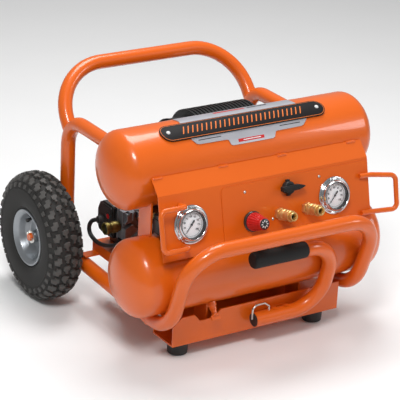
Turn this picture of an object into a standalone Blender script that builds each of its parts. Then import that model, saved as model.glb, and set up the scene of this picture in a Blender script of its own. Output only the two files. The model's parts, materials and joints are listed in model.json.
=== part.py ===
"""Wheeled twin-tank air compressor, built as separate parts.

X runs along the tanks, +Y points to the rear where the wheels and the handle are,
and +Z points up from the ground. The origin lies on the ground below the middle of
the machine's bounding box. Lengths are in metres.
"""

import math

import bmesh
import bpy
from mathutils import Matrix, Vector

GAP = 0.0003

# The numbers below are laid out from the wheels. Everything moves this far along Y
# at the end, which brings the middle of the bounding box over the origin.
CENTRE_SHIFT = 0.0016

# Frame tubing
TUBE_R = 0.015
TUBE_WALL = 0.002
TUBE_SIDES = 8
FRAME_X = 0.219
BEND_R = 0.060
UPRIGHT_Y = 0.175
LOOP_Z = 0.382
BASE_REAR_Z = 0.092
BASE_FRONT_Z = 0.081
BASE_JOINT_Y = -0.166
WELD_GAP = 0.0010
HOOP_FOOT_Y = -0.237
HOOP_FOOT_R = 0.083
HOOP_BAR_Y = -0.298
HOOP_BAR_Z = 0.262
HOOP_CORNER_R = 0.076
HANDLE_X = 0.2203
HANDLE_MID_X = 0.004
HANDLE_FOOT = (0.170, 0.352)
HANDLE_BAR = (0.253, 0.460)
HANDLE_CORNER_R = 0.112

# Tanks: axis position as (y, z)
UPPER = (-0.109, 0.3755)
LOWER = (-0.169, 0.1745)
TANK_R = 0.078
TANK_HALF = 0.2575
DOME = 0.0415
TANK_WALL = 0.0025
INLET = (-0.155, -0.109, 0.2975)
INLET_R = 0.0055
DRAIN_X = -0.112
DRAIN_TURN = math.radians(143)
DRAIN_R = 0.0058

# Wheels
AXLE_Y = 0.175
AXLE_Z = 0.134
AXLE_R = 0.008
AXLE_HALF = 0.307
WHEEL_X = 0.279
TYRE_R = 0.134
TYRE_HALF_WIDTH = 0.041
RIM_LIP_R = 0.0575
RIM_LIP_OFFSET = 0.033

# Front channel and feet
CHANNEL_HALF = 0.197
CHANNEL_FRONT_Y = -0.216
CHANNEL_BACK_Y = -0.143
CHANNEL_LOW_Z = 0.0325
CHANNEL_TOP_Z = 0.092
SHEET = 0.003
FOOT_X = 0.162
FOOT_Y = -0.180
FOOT_R = 0.0205

# Control panel section as (y, z): back edge, bend, lower edge
PANEL_BACK = (-0.189, 0.384)
PANEL_BEND = (-0.215, 0.356)
PANEL_LOW = (-0.244, 0.233)
PANEL_HALF = 0.243
PANEL_SHEET = 0.002
COVER_SHEET = 0.0015
COVER_LEFT = -0.105
FACE_DY = PANEL_BEND[0] - PANEL_LOW[0]
FACE_DZ = PANEL_BEND[1] - PANEL_LOW[1]
FACE_HALF = 0.5 * math.hypot(FACE_DY, FACE_DZ)
FACE_MID = Vector((0.0, (PANEL_BEND[0] + PANEL_LOW[0]) / 2, (PANEL_BEND[1] + PANEL_LOW[1]) / 2))
FACE_TURN = math.atan2(FACE_DZ, FACE_DY)

# Places on the panel's face: u along X, v up the face
LEFT_GAUGE = (-0.177, 0.0)
RIGHT_GAUGE = (0.156, 0.0)
REGULATOR = (-0.040, -0.018)
LEFT_COUPLER = (0.023, -0.014)
RIGHT_COUPLER = (0.087, -0.014)
SWITCH = (0.046, 0.034)
NEEDLE_REST = math.radians(228)

# Folding lift handle
LIFT_R = 0.0150
LIFT_WALL = 0.0018
LIFT_ROD_R = 0.0105
LIFT_LOW = (-0.233, 0.061)
LIFT_HIGH = (-0.279, 0.216)
LIFT_LOW_END_X = -0.020
LIFT_HIGH_END_X = 0.060
LIFT_ROD_END_X = -0.060
LIFT_RIGHT_X = 0.134
LIFT_CORNER_R = 0.068
GRIP_FROM_X = -0.065
GRIP_TO_X = 0.059
GRIP_R = 0.0165
CLAMPS_X = (0.028, 0.058)

# Motor and pump, on a deck behind the tanks: axis as (y, z)
DECK_Z = 0.130
MOTOR_Y = 0.068
MOTOR_Z = 0.232
MOTOR_R = 0.060
RESET = (0.063, 0.201)

COLOURS = {
    "orange_paint": ((0.80, 0.22, 0.03), 0.35, 0.0),
    "black_rubber": ((0.02, 0.02, 0.02), 0.80, 0.0),
    "black_foam": ((0.03, 0.03, 0.03), 0.95, 0.0),
    "black_plastic": ((0.03, 0.03, 0.03), 0.55, 0.0),
    "red_plastic": ((0.55, 0.02, 0.02), 0.35, 0.0),
    "chrome": ((0.80, 0.80, 0.80), 0.12, 1.0),
    "rim_steel": ((0.60, 0.61, 0.63), 0.35, 0.9),
    "zinc_steel": ((0.60, 0.60, 0.58), 0.35, 1.0),
    "brass": ((0.72, 0.50, 0.20), 0.30, 1.0),
    "copper": ((0.70, 0.33, 0.18), 0.35, 1.0),
    "cast_aluminium": ((0.45, 0.46, 0.47), 0.50, 0.9),
    "black_enamel": ((0.02, 0.02, 0.02), 0.40, 0.0),
    "silver_sheet": ((0.60, 0.60, 0.62), 0.30, 0.9),
    "dial_white": ((0.90, 0.90, 0.88), 0.50, 0.0),
    "clear_lens": ((0.90, 0.95, 1.00), 0.05, 0.0),
}


def material(name):
    """Return the shared material called name, making it on first use."""
    found = bpy.data.materials.get(name)
    if found:
        return found
    colour, roughness, metallic = COLOURS[name]
    made = bpy.data.materials.new(name)
    made.use_nodes = True
    shader = made.node_tree.nodes["Principled BSDF"]
    shader.inputs["Base Color"].default_value = (*colour, 1.0)
    shader.inputs["Roughness"].default_value = roughness
    shader.inputs["Metallic"].default_value = metallic
    return made


def add_object(name, bm, finish, parent=None, smooth=True):
    """Turn a bmesh into a linked object with one material."""
    bmesh.ops.remove_doubles(bm, verts=bm.verts, dist=0.00001)
    bmesh.ops.recalc_face_normals(bm, faces=bm.faces)
    mesh = bpy.data.meshes.new(name)
    bm.to_mesh(mesh)
    bm.free()
    mesh.materials.append(material(finish))
    if smooth:
        mesh.shade_smooth()
        mesh.set_sharp_from_angle(angle=math.radians(35))
    made = bpy.data.objects.new(name, mesh)
    bpy.context.scene.collection.objects.link(made)
    made.parent = parent
    return made


def add_pivot(name, place, turn=None):
    """An empty that stands on a joint or carries a local frame."""
    pivot = bpy.data.objects.new(name, None)
    bpy.context.scene.collection.objects.link(pivot)
    pivot.matrix_world = Matrix.Translation(Vector(place)) @ (turn or Matrix.Identity(4))
    return pivot


def cutter(made):
    """Mark an object as a construction guide that is not a part."""
    made.hide_render = True
    made.display_type = "WIRE"
    return made


def boolean(target, tool, operation="DIFFERENCE"):
    """Add an exact Boolean of tool to target."""
    cutter(tool)
    change = target.modifiers.new(tool.name, "BOOLEAN")
    change.operation = operation
    change.solver = "EXACT"
    change.object = tool


def lathe(profile, segments=24, closed=False, bm=None, at=(0.0, 0.0)):
    """Spin (radius, height) points about the local Z axis that passes through at."""
    bm = bm or bmesh.new()
    centre = Vector((at[0], at[1], 0.0))
    verts = [bm.verts.new(centre + Vector((radius, 0.0, height))) for radius, height in profile]
    pairs = list(zip(verts, verts[1:]))
    if closed:
        pairs.append((verts[-1], verts[0]))
    edges = [bm.edges.new(pair) for pair in pairs]
    bmesh.ops.spin(
        bm, geom=verts + edges, cent=centre, axis=(0, 0, 1), angle=math.tau, steps=segments, use_merge=True
    )
    bmesh.ops.remove_doubles(bm, verts=bm.verts, dist=0.00001)
    return bm


def disc_stack(radius, low, high, segments=16, bm=None, at=(0.0, 0.0)):
    """A plain solid cylinder along local Z."""
    return lathe([(0.0, low), (radius, low), (radius, high), (0.0, high)], segments, bm=bm, at=at)


def box(low, high, bm=None):
    """A box between two corners."""
    bm = bm or bmesh.new()
    size = [b - a for a, b in zip(low, high)]
    centre = [(a + b) / 2 for a, b in zip(low, high)]
    bmesh.ops.create_cube(bm, size=1.0, matrix=Matrix.LocRotScale(centre, None, size))
    return bm


def prism(outline, thickness, bm=None):
    """Extrude a flat outline of 3-D points by the vector thickness."""
    bm = bm or bmesh.new()
    face = bm.faces.new([bm.verts.new(point) for point in outline])
    grown = bmesh.ops.extrude_face_region(bm, geom=[face])["geom"]
    moved = [item for item in grown if isinstance(item, bmesh.types.BMVert)]
    bmesh.ops.translate(bm, verts=moved, vec=thickness)
    return bm


def about_x(bm, y, z, x=0.0):
    """Turn a lathe about local Z so that its axis runs along X through (y, z)."""
    turn = Matrix.Translation((x, y, z)) @ Matrix.Rotation(math.radians(90), 4, "Y")
    bmesh.ops.transform(bm, matrix=turn, verts=bm.verts)
    return bm


def moved(bm, place, turn=None):
    """Shift, and optionally turn, everything in a bmesh."""
    matrix = Matrix.Translation(Vector(place)) @ (turn or Matrix.Identity(4))
    bmesh.ops.transform(bm, matrix=matrix, verts=bm.verts)
    return bm


def rounded_path(corners, radii, step=math.radians(30)):
    """Replace each inner corner of a polyline with an arc of the given radius."""
    corners = [Vector(corner) for corner in corners]
    path = [corners[0]]
    for before, corner, after, radius in zip(corners, corners[1:], corners[2:], radii):
        inward = (before - corner).normalized()
        outward = (after - corner).normalized()
        turn = math.pi - inward.angle(outward)
        reach = radius * math.tan(turn / 2)
        centre = corner + (inward + outward).normalized() * (radius / math.cos(turn / 2))
        start = corner + inward * reach - centre
        axis = start.cross(corner + outward * reach - centre).normalized()
        count = max(2, math.ceil(turn / step))
        for index in range(count + 1):
            path.append(centre + Matrix.Rotation(turn * index / count, 3, axis) @ start)
    path.append(corners[-1])
    return path


def tube(path, radius, wall=None, sides=TUBE_SIDES):
    """Sweep a round tube, hollow where wall is given, along a list of points."""
    bm = bmesh.new()
    tangents = []
    for index, point in enumerate(path):
        after = path[min(index + 1, len(path) - 1)]
        before = path[max(index - 1, 0)]
        tangents.append(((after - point).normalized() + (point - before).normalized()).normalized())
    side = tangents[0].orthogonal().normalized()
    shells = [[], []]
    for index, (point, tangent) in enumerate(zip(path, tangents)):
        if index:
            side = tangents[index - 1].rotation_difference(tangent) @ side
        other = tangent.cross(side)
        for shell, size in zip(shells, (radius, radius - wall if wall else 0.0)):
            if size <= 0.0:
                continue
            ring = []
            for corner in range(sides):
                turn = math.tau * corner / sides
                ring.append(bm.verts.new(point + side * size * math.cos(turn) + other * size * math.sin(turn)))
            shell.append(ring)
    for shell in shells:
        for ring, following in zip(shell, shell[1:]):
            for a in range(sides):
                b = (a + 1) % sides
                bm.faces.new((ring[a], ring[b], following[b], following[a]))
    for end in (0, -1):
        if not wall:
            bm.faces.new(shells[0][end])
            continue
        for a in range(sides):
            b = (a + 1) % sides
            bm.faces.new((shells[0][end][a], shells[0][end][b], shells[1][end][b], shells[1][end][a]))
    return bm


def tank_cutter(name, centre):
    """A cylinder a hair larger than a tank, for coping what meets it."""
    bm = about_x(disc_stack(TANK_R + GAP, -TANK_HALF, TANK_HALF, 56), *centre)
    return add_object(name, bm, "orange_paint")


# ---------------------------------------------------------------- tanks


def tank_profile(radius, half, dome, steps):
    """Half outline of a closed tank with elliptical domes, from end to end."""
    rising = [math.pi / 2 * index / steps for index in range(steps + 1)]
    left = [(radius * math.sin(a), -half - dome * math.cos(a)) for a in rising]
    return left + [(r, -h) for r, h in left[::-1]]


def make_tanks():
    """Two hollow tanks: the upper opens at its inlet, the lower at its drain."""
    drain = Matrix.Rotation(DRAIN_TURN, 4, "X")
    ports = {
        "upper_tank": (UPPER, moved(disc_stack(INLET_R, -0.02, 0.02, 16), INLET)),
        "lower_tank": (LOWER, moved(disc_stack(DRAIN_R, 0.06, 0.09, 16), (DRAIN_X, *LOWER), drain)),
    }
    for name, (centre, port) in ports.items():
        bm = about_x(lathe(tank_profile(TANK_R, TANK_HALF, DOME, 4), 24), *centre)
        tank = add_object(name, bm, "orange_paint")
        inside = tank_profile(TANK_R - TANK_WALL, TANK_HALF, DOME - TANK_WALL, 3)
        bm = about_x(lathe(inside, 16), *centre)
        boolean(tank, add_object(f"{name}_hollow", bm, "orange_paint"))
        boolean(tank, add_object(f"{name}_port", port, "orange_paint"))


def make_tank_brackets():
    """Struts between the tanks and a saddle under the lower one."""
    cope_upper = tank_cutter("cope_upper_tank", UPPER)
    cope_lower = tank_cutter("cope_lower_tank", LOWER)
    for side, x in (("left", -0.225), ("right", 0.225)):
        strut = box((x - 0.002, -0.166, 0.205), (x + 0.002, -0.122, 0.345))
        strut = add_object(f"tank_strut_{side}", strut, "orange_paint", smooth=False)
        boolean(strut, cope_upper)
        boolean(strut, cope_lower)
    low = CHANNEL_LOW_Z + SHEET + GAP
    saddle = box((-0.112, -0.200, low), (0.112, -0.155, low + SHEET))
    saddle = add_object("tank_saddle", saddle, "orange_paint", smooth=False)
    for side, x in (("left", -0.110), ("right", 0.110)):
        web = box((x - 0.002, -0.200, low + 0.001), (x + 0.002, -0.155, 0.150))
        boolean(saddle, add_object(f"saddle_web_{side}", web, "orange_paint"), "UNION")
    boolean(saddle, cope_lower)


# ---------------------------------------------------------------- frame


def side_loop_path(x):
    """Centre line of a side tube, from behind the upper tank round to the base."""
    corners = [
        (x, UPPER[0] + 0.060, LOOP_Z),
        (x, UPRIGHT_Y, LOOP_Z),
        (x, UPRIGHT_Y, BASE_REAR_Z),
        (x, BASE_JOINT_Y, BASE_FRONT_Z),
    ]
    return rounded_path(corners, [BEND_R, BEND_R])


def make_frame():
    for side, x in (("left", -FRAME_X), ("right", FRAME_X)):
        bm = tube(side_loop_path(x), TUBE_R, TUBE_WALL)
        side_tube = add_object(f"frame_tube_{side}", bm, "orange_paint")
        boolean(side_tube, bpy.data.objects["cope_upper_tank"])
        near, far = sorted((math.copysign(FRAME_X - 0.010, x), math.copysign(AXLE_HALF, x)))
        stub = about_x(disc_stack(AXLE_R, near, far, 16), AXLE_Y, AXLE_Z)
        boolean(side_tube, add_object(f"stub_axle_{side}", stub, "orange_paint"), "UNION")
    corners = [
        (-FRAME_X, BASE_JOINT_Y - WELD_GAP, BASE_FRONT_Z),
        (-FRAME_X, HOOP_FOOT_Y, BASE_FRONT_Z),
        (-FRAME_X, HOOP_BAR_Y, HOOP_BAR_Z),
        (FRAME_X, HOOP_BAR_Y, HOOP_BAR_Z),
        (FRAME_X, HOOP_FOOT_Y, BASE_FRONT_Z),
        (FRAME_X, BASE_JOINT_Y - WELD_GAP, BASE_FRONT_Z),
    ]
    path = rounded_path(corners, [HOOP_FOOT_R, HOOP_CORNER_R, HOOP_CORNER_R, HOOP_FOOT_R])
    add_object("front_hoop", tube(path, TUBE_R, TUBE_WALL), "orange_paint")
    foot_y, foot_z = HANDLE_FOOT
    bar_y, bar_z = HANDLE_BAR
    corners = [
        (HANDLE_MID_X - HANDLE_X, foot_y, foot_z),
        (HANDLE_MID_X - HANDLE_X, bar_y, bar_z),
        (HANDLE_MID_X + HANDLE_X, bar_y, bar_z),
        (HANDLE_MID_X + HANDLE_X, foot_y, foot_z),
    ]
    handle = tube(rounded_path(corners, [HANDLE_CORNER_R] * 2), TUBE_R, TUBE_WALL)
    handle = add_object("rear_handle", handle, "orange_paint")
    for side, x in (("left", -FRAME_X), ("right", FRAME_X)):
        cope = tube(side_loop_path(x), TUBE_R + GAP, sides=24)
        boolean(handle, add_object(f"cope_loop_{side}", cope, "orange_paint"))


def make_channel():
    """Folded channel across the front, with a chamfered corner and a notch for the drain."""
    left, right, front = -CHANNEL_HALF, CHANNEL_HALF, CHANNEL_FRONT_Y
    low, top = CHANNEL_LOW_Z, CHANNEL_TOP_Z
    wall = [
        (left, low),
        (right, low),
        (right, top),
        (-0.088, top),
        (-0.104, top - 0.015),
        (-0.136, top - 0.015),
        (-0.148, top),
        (left + 0.020, top),
        (left, top - 0.018),
    ]
    bm = prism([(x, front, z) for x, z in wall], (0, SHEET, 0))
    channel = add_object("front_channel", bm, "orange_paint", smooth=False)
    floor = box((left, front + 0.001, low), (right, CHANNEL_BACK_Y, low + SHEET))
    boolean(channel, add_object("channel_floor", floor, "orange_paint"), "UNION")
    back = box((left, CHANNEL_BACK_Y - SHEET, low + 0.001), (right, CHANNEL_BACK_Y, 0.086))
    boolean(channel, add_object("channel_back", back, "orange_paint"), "UNION")


def make_feet():
    """Turned rubber feet with a recess below for the bolt."""
    top = CHANNEL_LOW_Z - GAP
    for side, x in (("left", -FOOT_X), ("right", FOOT_X)):
        profile = [
            (0.0, 0.008),
            (0.0085, 0.008),
            (0.0090, 0.0),
            (FOOT_R - 0.0015, 0.0),
            (FOOT_R, 0.003),
            (FOOT_R + 0.0005, top),
            (0.0, top),
        ]
        foot = moved(lathe(profile, 20), (x, FOOT_Y, 0.0))
        add_object(f"foot_{side}", foot, "black_rubber")


def make_deck():
    """Pan between the side tubes that carries the motor and the pump."""
    x, top, low = 0.192, DECK_Z, DECK_Z - 0.022
    outline = [
        (-x, low),
        (-x, top),
        (x, top),
        (x, low),
        (x - SHEET, low),
        (x - SHEET, top - SHEET),
        (-x + SHEET, top - SHEET),
        (-x + SHEET, low),
    ]
    bm = prism([(u, -0.082, z) for u, z in outline], (0, 0.194, 0))
    deck = add_object("deck_plate", bm, "orange_paint", smooth=False)
    lugs = bmesh.new()
    for side in (-1, 1):
        for y in (-0.060, 0.082):
            near, far = side * (x - 0.001), side * (FRAME_X + 0.006)
            box((min(near, far), y, 0.1085), (max(near, far), y + 0.022, 0.1115), lugs)
    boolean(deck, add_object("deck_lugs", lugs, "orange_paint"), "UNION")


# ---------------------------------------------------------------- wheels


def make_wheels():
    for name, side in (("left", -1), ("right", 1)):
        near, far = sorted((side * 0.2995, side * 0.3020))
        ring = [(AXLE_R + GAP, near), (0.0140, near), (0.0140, far), (AXLE_R + GAP, far)]
        bm = about_x(lathe(ring, 16, closed=True), AXLE_Y, AXLE_Z)
        add_object(f"axle_washer_{name}", bm, "zinc_steel")
    for name, side in (("left", -1), ("right", 1)):
        turn = Matrix.Rotation(math.radians(90 * side), 4, "Y")
        pivot = add_pivot(f"wheel_{name}_pivot", (side * WHEEL_X, AXLE_Y, AXLE_Z), turn)
        add_object(f"tyre_{name}", lathe(tyre_profile(), 24, closed=True), "black_rubber", pivot)
        add_object(f"rim_{name}", lathe(rim_profile(), 20, closed=True), "rim_steel", pivot)


def tyre_profile():
    """C-shaped section: height runs outward from the wheel's middle plane."""
    middle = TYRE_R - TYRE_HALF_WIDTH
    bead = RIM_LIP_R - 0.002
    lip = RIM_LIP_OFFSET - 0.0065
    shells = []
    for size, steps in ((TYRE_HALF_WIDTH, 8), (TYRE_HALF_WIDTH * 0.80, 4)):
        turns = [math.radians(-130 + 260 * index / steps) for index in range(steps + 1)]
        shells.append([(middle + size * math.cos(turn), size * math.sin(turn)) for turn in turns])
    outer, inner = shells
    return outer + [(bead, lip), (bead, 0.021)] + inner[::-1] + [(bead, -0.021), (bead, -lip)]


def rim_profile():
    """Pressed steel rim with a deep dish and a hub tube, as one closed section."""
    lip, offset, t = RIM_LIP_R, RIM_LIP_OFFSET, 0.0022
    well = 0.0465
    return [
        (AXLE_R + GAP, -0.0315),
        (0.0125, -0.0315),
        (0.0125, -0.003),
        (well - t, -0.012),
        (lip, -offset),
        (lip + 0.002, -offset + t),
        (lip - 0.0025, -offset + 0.0055),
        (well, -0.012),
        (well, 0.012),
        (lip - 0.0025, offset - 0.0055),
        (lip + 0.002, offset - t),
        (lip, offset),
        (well - t, 0.012),
        (0.0125, 0.002),
        (0.0125, 0.0195),
        (AXLE_R + GAP, 0.0195),
    ]


# ---------------------------------------------------------------- control panel


def offset_line(points, distance):
    """Offset an open (y, z) polyline sideways by distance with mitred corners."""
    normals = []
    for (y0, z0), (y1, z1) in zip(points, points[1:]):
        length = math.hypot(y1 - y0, z1 - z0)
        normals.append(((z1 - z0) / length, -(y1 - y0) / length))
    shifted = []
    for index, (y, z) in enumerate(points):
        before = Vector(normals[max(index - 1, 0)])
        after = Vector(normals[min(index, len(normals) - 1)])
        middle = (before + after).normalized()
        reach = distance / middle.dot(after)
        shifted.append((y + middle.x * reach, z + middle.y * reach))
    return shifted


def make_panel(face):
    """Folded control panel with its weld tabs, and the raised cover plate on it."""
    section = [PANEL_BACK, PANEL_BEND, PANEL_LOW]
    back = offset_line(section, -PANEL_SHEET)
    outline = [(-PANEL_HALF, y, z) for y, z in section + back[::-1]]
    panel = add_object("control_panel", prism(outline, (2 * PANEL_HALF, 0, 0)), "orange_paint", smooth=False)
    tabs = bmesh.new()
    for x in (-0.230, -0.084, 0.052, 0.218):
        box((x - 0.010, -0.1925, 0.3815), (x + 0.010, -0.180, 0.3845), tabs)
    tabs = add_object("panel_tabs", tabs, "orange_paint")
    boolean(panel, tabs, "UNION")
    boolean(panel, bpy.data.objects["cope_upper_tank"])
    holes = bmesh.new()
    sizes = (
        (LEFT_GAUGE, 0.0275),
        (RIGHT_GAUGE, 0.0275),
        (REGULATOR, 0.0120),
        (LEFT_COUPLER, 0.0090),
        (RIGHT_COUPLER, 0.0090),
        (SWITCH, 0.0050),
    )
    for place, radius in sizes:
        disc_stack(radius, -0.01, 0.01, 20 if radius > 0.02 else 12, holes, place)
    holes = add_object("panel_holes", holes, "orange_paint", face)
    boolean(panel, holes)
    corner = 0.010
    left, right, low, high = COVER_LEFT, PANEL_HALF - 0.001, -FACE_HALF + 0.001, FACE_HALF - 0.006
    outline = [(left, low), (right, low), (right, high)]
    for index in range(4):
        turn = math.radians(90 + 30 * index)
        outline.append((left + corner + corner * math.cos(turn), high - corner + corner * math.sin(turn)))
    bm = prism([(u, v, GAP) for u, v in outline], (0, 0, COVER_SHEET - GAP))
    cover = add_object("panel_cover", bm, "orange_paint", face, smooth=False)
    boolean(cover, holes)


def make_gauge(side, place, base, face):
    """Flanged pressure gauge: case, dial, needle and lens on one axis."""
    pivot = bpy.data.objects.new(f"gauge_{side}_pivot", None)
    bpy.context.scene.collection.objects.link(pivot)
    pivot.parent = face
    pivot.location = (place[0], place[1], base)
    case = [
        (0.0, -0.034),
        (0.006, -0.034),
        (0.006, -0.022),
        (0.0268, -0.022),
        (0.0268, 0.0),
        (0.0375, 0.0),
        (0.0375, 0.0022),
        (0.0312, 0.0030),
        (0.0300, 0.0105),
        (0.0282, 0.0125),
        (0.0252, 0.0125),
        (0.0245, 0.0095),
        (0.0245, 0.0010),
        (0.0, 0.0010),
    ]
    add_object(f"gauge_{side}_case", lathe(case, 16), "chrome", pivot)
    add_object(f"gauge_{side}_dial", disc_stack(0.0240, 0.0013, 0.0023, 16), "dial_white", pivot)
    add_object(f"gauge_{side}_lens", disc_stack(0.0241, 0.0085, 0.0097, 16), "clear_lens", pivot)
    needle = bmesh.new()
    outline = [
        (0.0190, -0.0003),
        (0.0190, 0.0003),
        (0.0, 0.0009),
        (-0.0100, 0.0014),
        (-0.0100, -0.0014),
        (0.0, -0.0009),
    ]
    turn = Matrix.Rotation(NEEDLE_REST, 4, "Z")
    prism([(u, v, 0.0032) for u, v in outline], (0, 0, 0.0008), needle)
    moved(needle, (0, 0, 0), turn)
    needle = add_object(f"gauge_{side}_needle", needle, "black_enamel", pivot, smooth=False)
    hub = add_object(f"gauge_{side}_hub", disc_stack(0.0022, 0.0026, 0.0046, 12), "black_enamel", pivot)
    boolean(needle, hub, "UNION")


def make_regulator(face):
    base = COVER_SHEET + GAP
    u, v = REGULATOR
    barrel = [
        (0.0, -0.030),
        (0.0140, -0.030),
        (0.0140, -0.004),
        (0.0115, -0.004),
        (0.0115, base),
        (0.0178, base),
        (0.0178, base + 0.0060),
        (0.0055, base + 0.0060),
        (0.0055, base + 0.0400),
        (0.0, base + 0.0400),
    ]
    body = add_object("regulator_body", lathe(barrel, 14, at=REGULATOR), "brass", face)
    block = box((-0.028, -0.026, -0.032), (0.105, -0.003, -0.0098))
    boolean(body, add_object("manifold_block", block, "brass", face), "UNION")
    pivot = bpy.data.objects.new("regulator_pivot", None)
    bpy.context.scene.collection.objects.link(pivot)
    pivot.parent = face
    pivot.location = (u, v, base)
    knob = [
        (0.0058, 0.0063),
        (0.0180, 0.0063),
        (0.0180, 0.0120),
        (0.0145, 0.0260),
        (0.0125, 0.0300),
        (0.0125, 0.0430),
        (0.0, 0.0430),
        (0.0, 0.0405),
        (0.0058, 0.0405),
    ]
    add_object("regulator_knob", lathe(knob, 16, closed=True), "red_plastic", pivot)


def make_couplers(face):
    base = COVER_SHEET + GAP
    for side, place in (("left", LEFT_COUPLER), ("right", RIGHT_COUPLER)):
        body = [
            (0.0, -0.0095),
            (0.0086, -0.0095),
            (0.0086, base),
            (0.0112, base),
            (0.0112, base + 0.0100),
            (0.0075, base + 0.0100),
            (0.0075, base + 0.0450),
            (0.0088, base + 0.0460),
            (0.0088, base + 0.0520),
            (0.0058, base + 0.0520),
            (0.0058, base + 0.0130),
            (0.0, base + 0.0130),
        ]
        add_object(f"coupler_{side}_body", lathe(body, 14, at=place), "brass", face)
        sleeve = [
            (0.0078, base + 0.0165),
            (0.0112, base + 0.0165),
            (0.0116, base + 0.0220),
            (0.0105, base + 0.0320),
            (0.0112, base + 0.0380),
            (0.0112, base + 0.0440),
            (0.0078, base + 0.0440),
        ]
        ring = lathe(sleeve, 14, closed=True, at=place)
        add_object(f"coupler_{side}_sleeve", ring, "brass", face)


def make_switch(face):
    base = COVER_SHEET + GAP
    pivot = bpy.data.objects.new("switch_pivot", None)
    bpy.context.scene.collection.objects.link(pivot)
    pivot.parent = face
    pivot.location = (SWITCH[0], SWITCH[1], base)
    disc = [(0, -0.016), (0.004, -0.016), (0.004, 0), (0.013, 0), (0.0125, 0.010), (0.011, 0.012), (0, 0.012)]
    knob = add_object("switch_knob", lathe(disc, 20), "black_plastic", pivot)
    bar = [
        (-0.020, -0.0040),
        (-0.010, -0.0050),
        (0.020, -0.0050),
        (0.034, 0.0),
        (0.020, 0.0050),
        (-0.010, 0.0050),
        (-0.020, 0.0040),
    ]
    bm = prism([(u, v, 0.006) for u, v in bar], (0, 0, 0.012))
    boolean(knob, add_object("switch_bar", bm, "black_plastic", pivot), "UNION")
    bm = box((0.014, 0.008, -0.036), (0.078, 0.052, -0.018))
    block = add_object("rotary_switch", bm, "black_plastic", face, smooth=False)
    bore = disc_stack(0.0043, -0.030, 0.0, 16, at=SWITCH)
    boolean(block, add_object("bore_switch", bore, "black_plastic", face))


def make_cord_hooks(face):
    """Two wire loops on the panel for winding up a cord."""
    right = rounded_path(
        [(0.218, 0.028, 0.0068), (0.243, 0.028, 0.0110), (0.292, 0.021, 0.0250), (0.292, -0.048, 0.0240),
         (0.243, -0.047, 0.0090), (0.218, -0.047, 0.0068)],
        [0.010, 0.012, 0.012, 0.010],
        math.radians(30),
    )
    left = rounded_path(
        [(-0.198, 0.040, 0.0060), (-0.198, 0.040, 0.0240), (-0.254, 0.040, 0.0240), (-0.254, -0.040, 0.0240),
         (-0.198, -0.040, 0.0240), (-0.198, -0.040, 0.0060)],
        [0.008, 0.012, 0.012, 0.008],
        math.radians(30),
    )
    for side, path in (("left", left), ("right", right)):
        hook = add_object(f"cord_hook_{side}", tube(path, 0.005, sides=8), "orange_paint", face)
        floor = GAP if side == "left" else COVER_SHEET + GAP
        trim = box((-0.32, -0.06, floor - 0.03), (0.32, 0.06, floor))
        boolean(hook, add_object(f"trim_hook_{side}", trim, "orange_paint", face))


def cylinder_patch(rows, radius, thickness):
    """Curved plate on the upper tank: rows of (angle from the top towards the front, left, right)."""
    fine = [rows[0]]
    for row, following in zip(rows, rows[1:]):
        count = math.ceil((following[0] - row[0]) / 6)
        for index in range(1, count + 1):
            fine.append([a + (b - a) * index / count for a, b in zip(row, following)])
    bm = bmesh.new()
    shells = []
    for size in (radius, radius + thickness):
        shell = []
        for angle, left, right in fine:
            y = UPPER[0] - size * math.sin(math.radians(angle))
            z = UPPER[1] + size * math.cos(math.radians(angle))
            shell.append((bm.verts.new((left, y, z)), bm.verts.new((right, y, z))))
        shells.append(shell)
    inner, outer = shells
    for shell in shells:
        for (a, b), (c, d) in zip(shell, shell[1:]):
            bm.faces.new((a, b, d, c))
    for (a, b), (c, d), (e, f), (g, h) in zip(inner, inner[1:], outer, outer[1:]):
        bm.faces.new((a, c, g, e))
        bm.faces.new((b, d, h, f))
    for end in (0, -1):
        bm.faces.new((*inner[end], *outer[end][::-1]))
    return bm


def make_name_plate():
    """Plain stadium plate on a shaped backing, riveted to the upper tank."""
    backing = TANK_R + 0.0005
    rows = [(-14, -0.140, 0.126), (0, -0.138, 0.128), (12, -0.141, 0.130), (30, -0.141, 0.130),
            (41, -0.139, 0.126), (49, -0.130, 0.112), (51, -0.060, 0.048), (59, -0.056, 0.040)]
    add_object("name_plate_backing", cylinder_patch(rows, backing, 0.0012), "silver_sheet", smooth=False)
    middle, half_angle, half_length = 24.5, 15.0, 0.189
    plate = backing + 0.0012 + GAP
    end_radius = math.radians(half_angle) * plate
    rows = []
    for index in range(9):
        slope = math.radians(-90 + 22.5 * index)
        reach = half_length - end_radius + end_radius * math.cos(slope)
        rows.append((middle + half_angle * math.sin(slope), -0.009 - reach, -0.009 + reach))
    add_object("name_plate", cylinder_patch(rows, plate, 0.0016), "black_enamel", smooth=False)


# ---------------------------------------------------------------- lift handle


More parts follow.
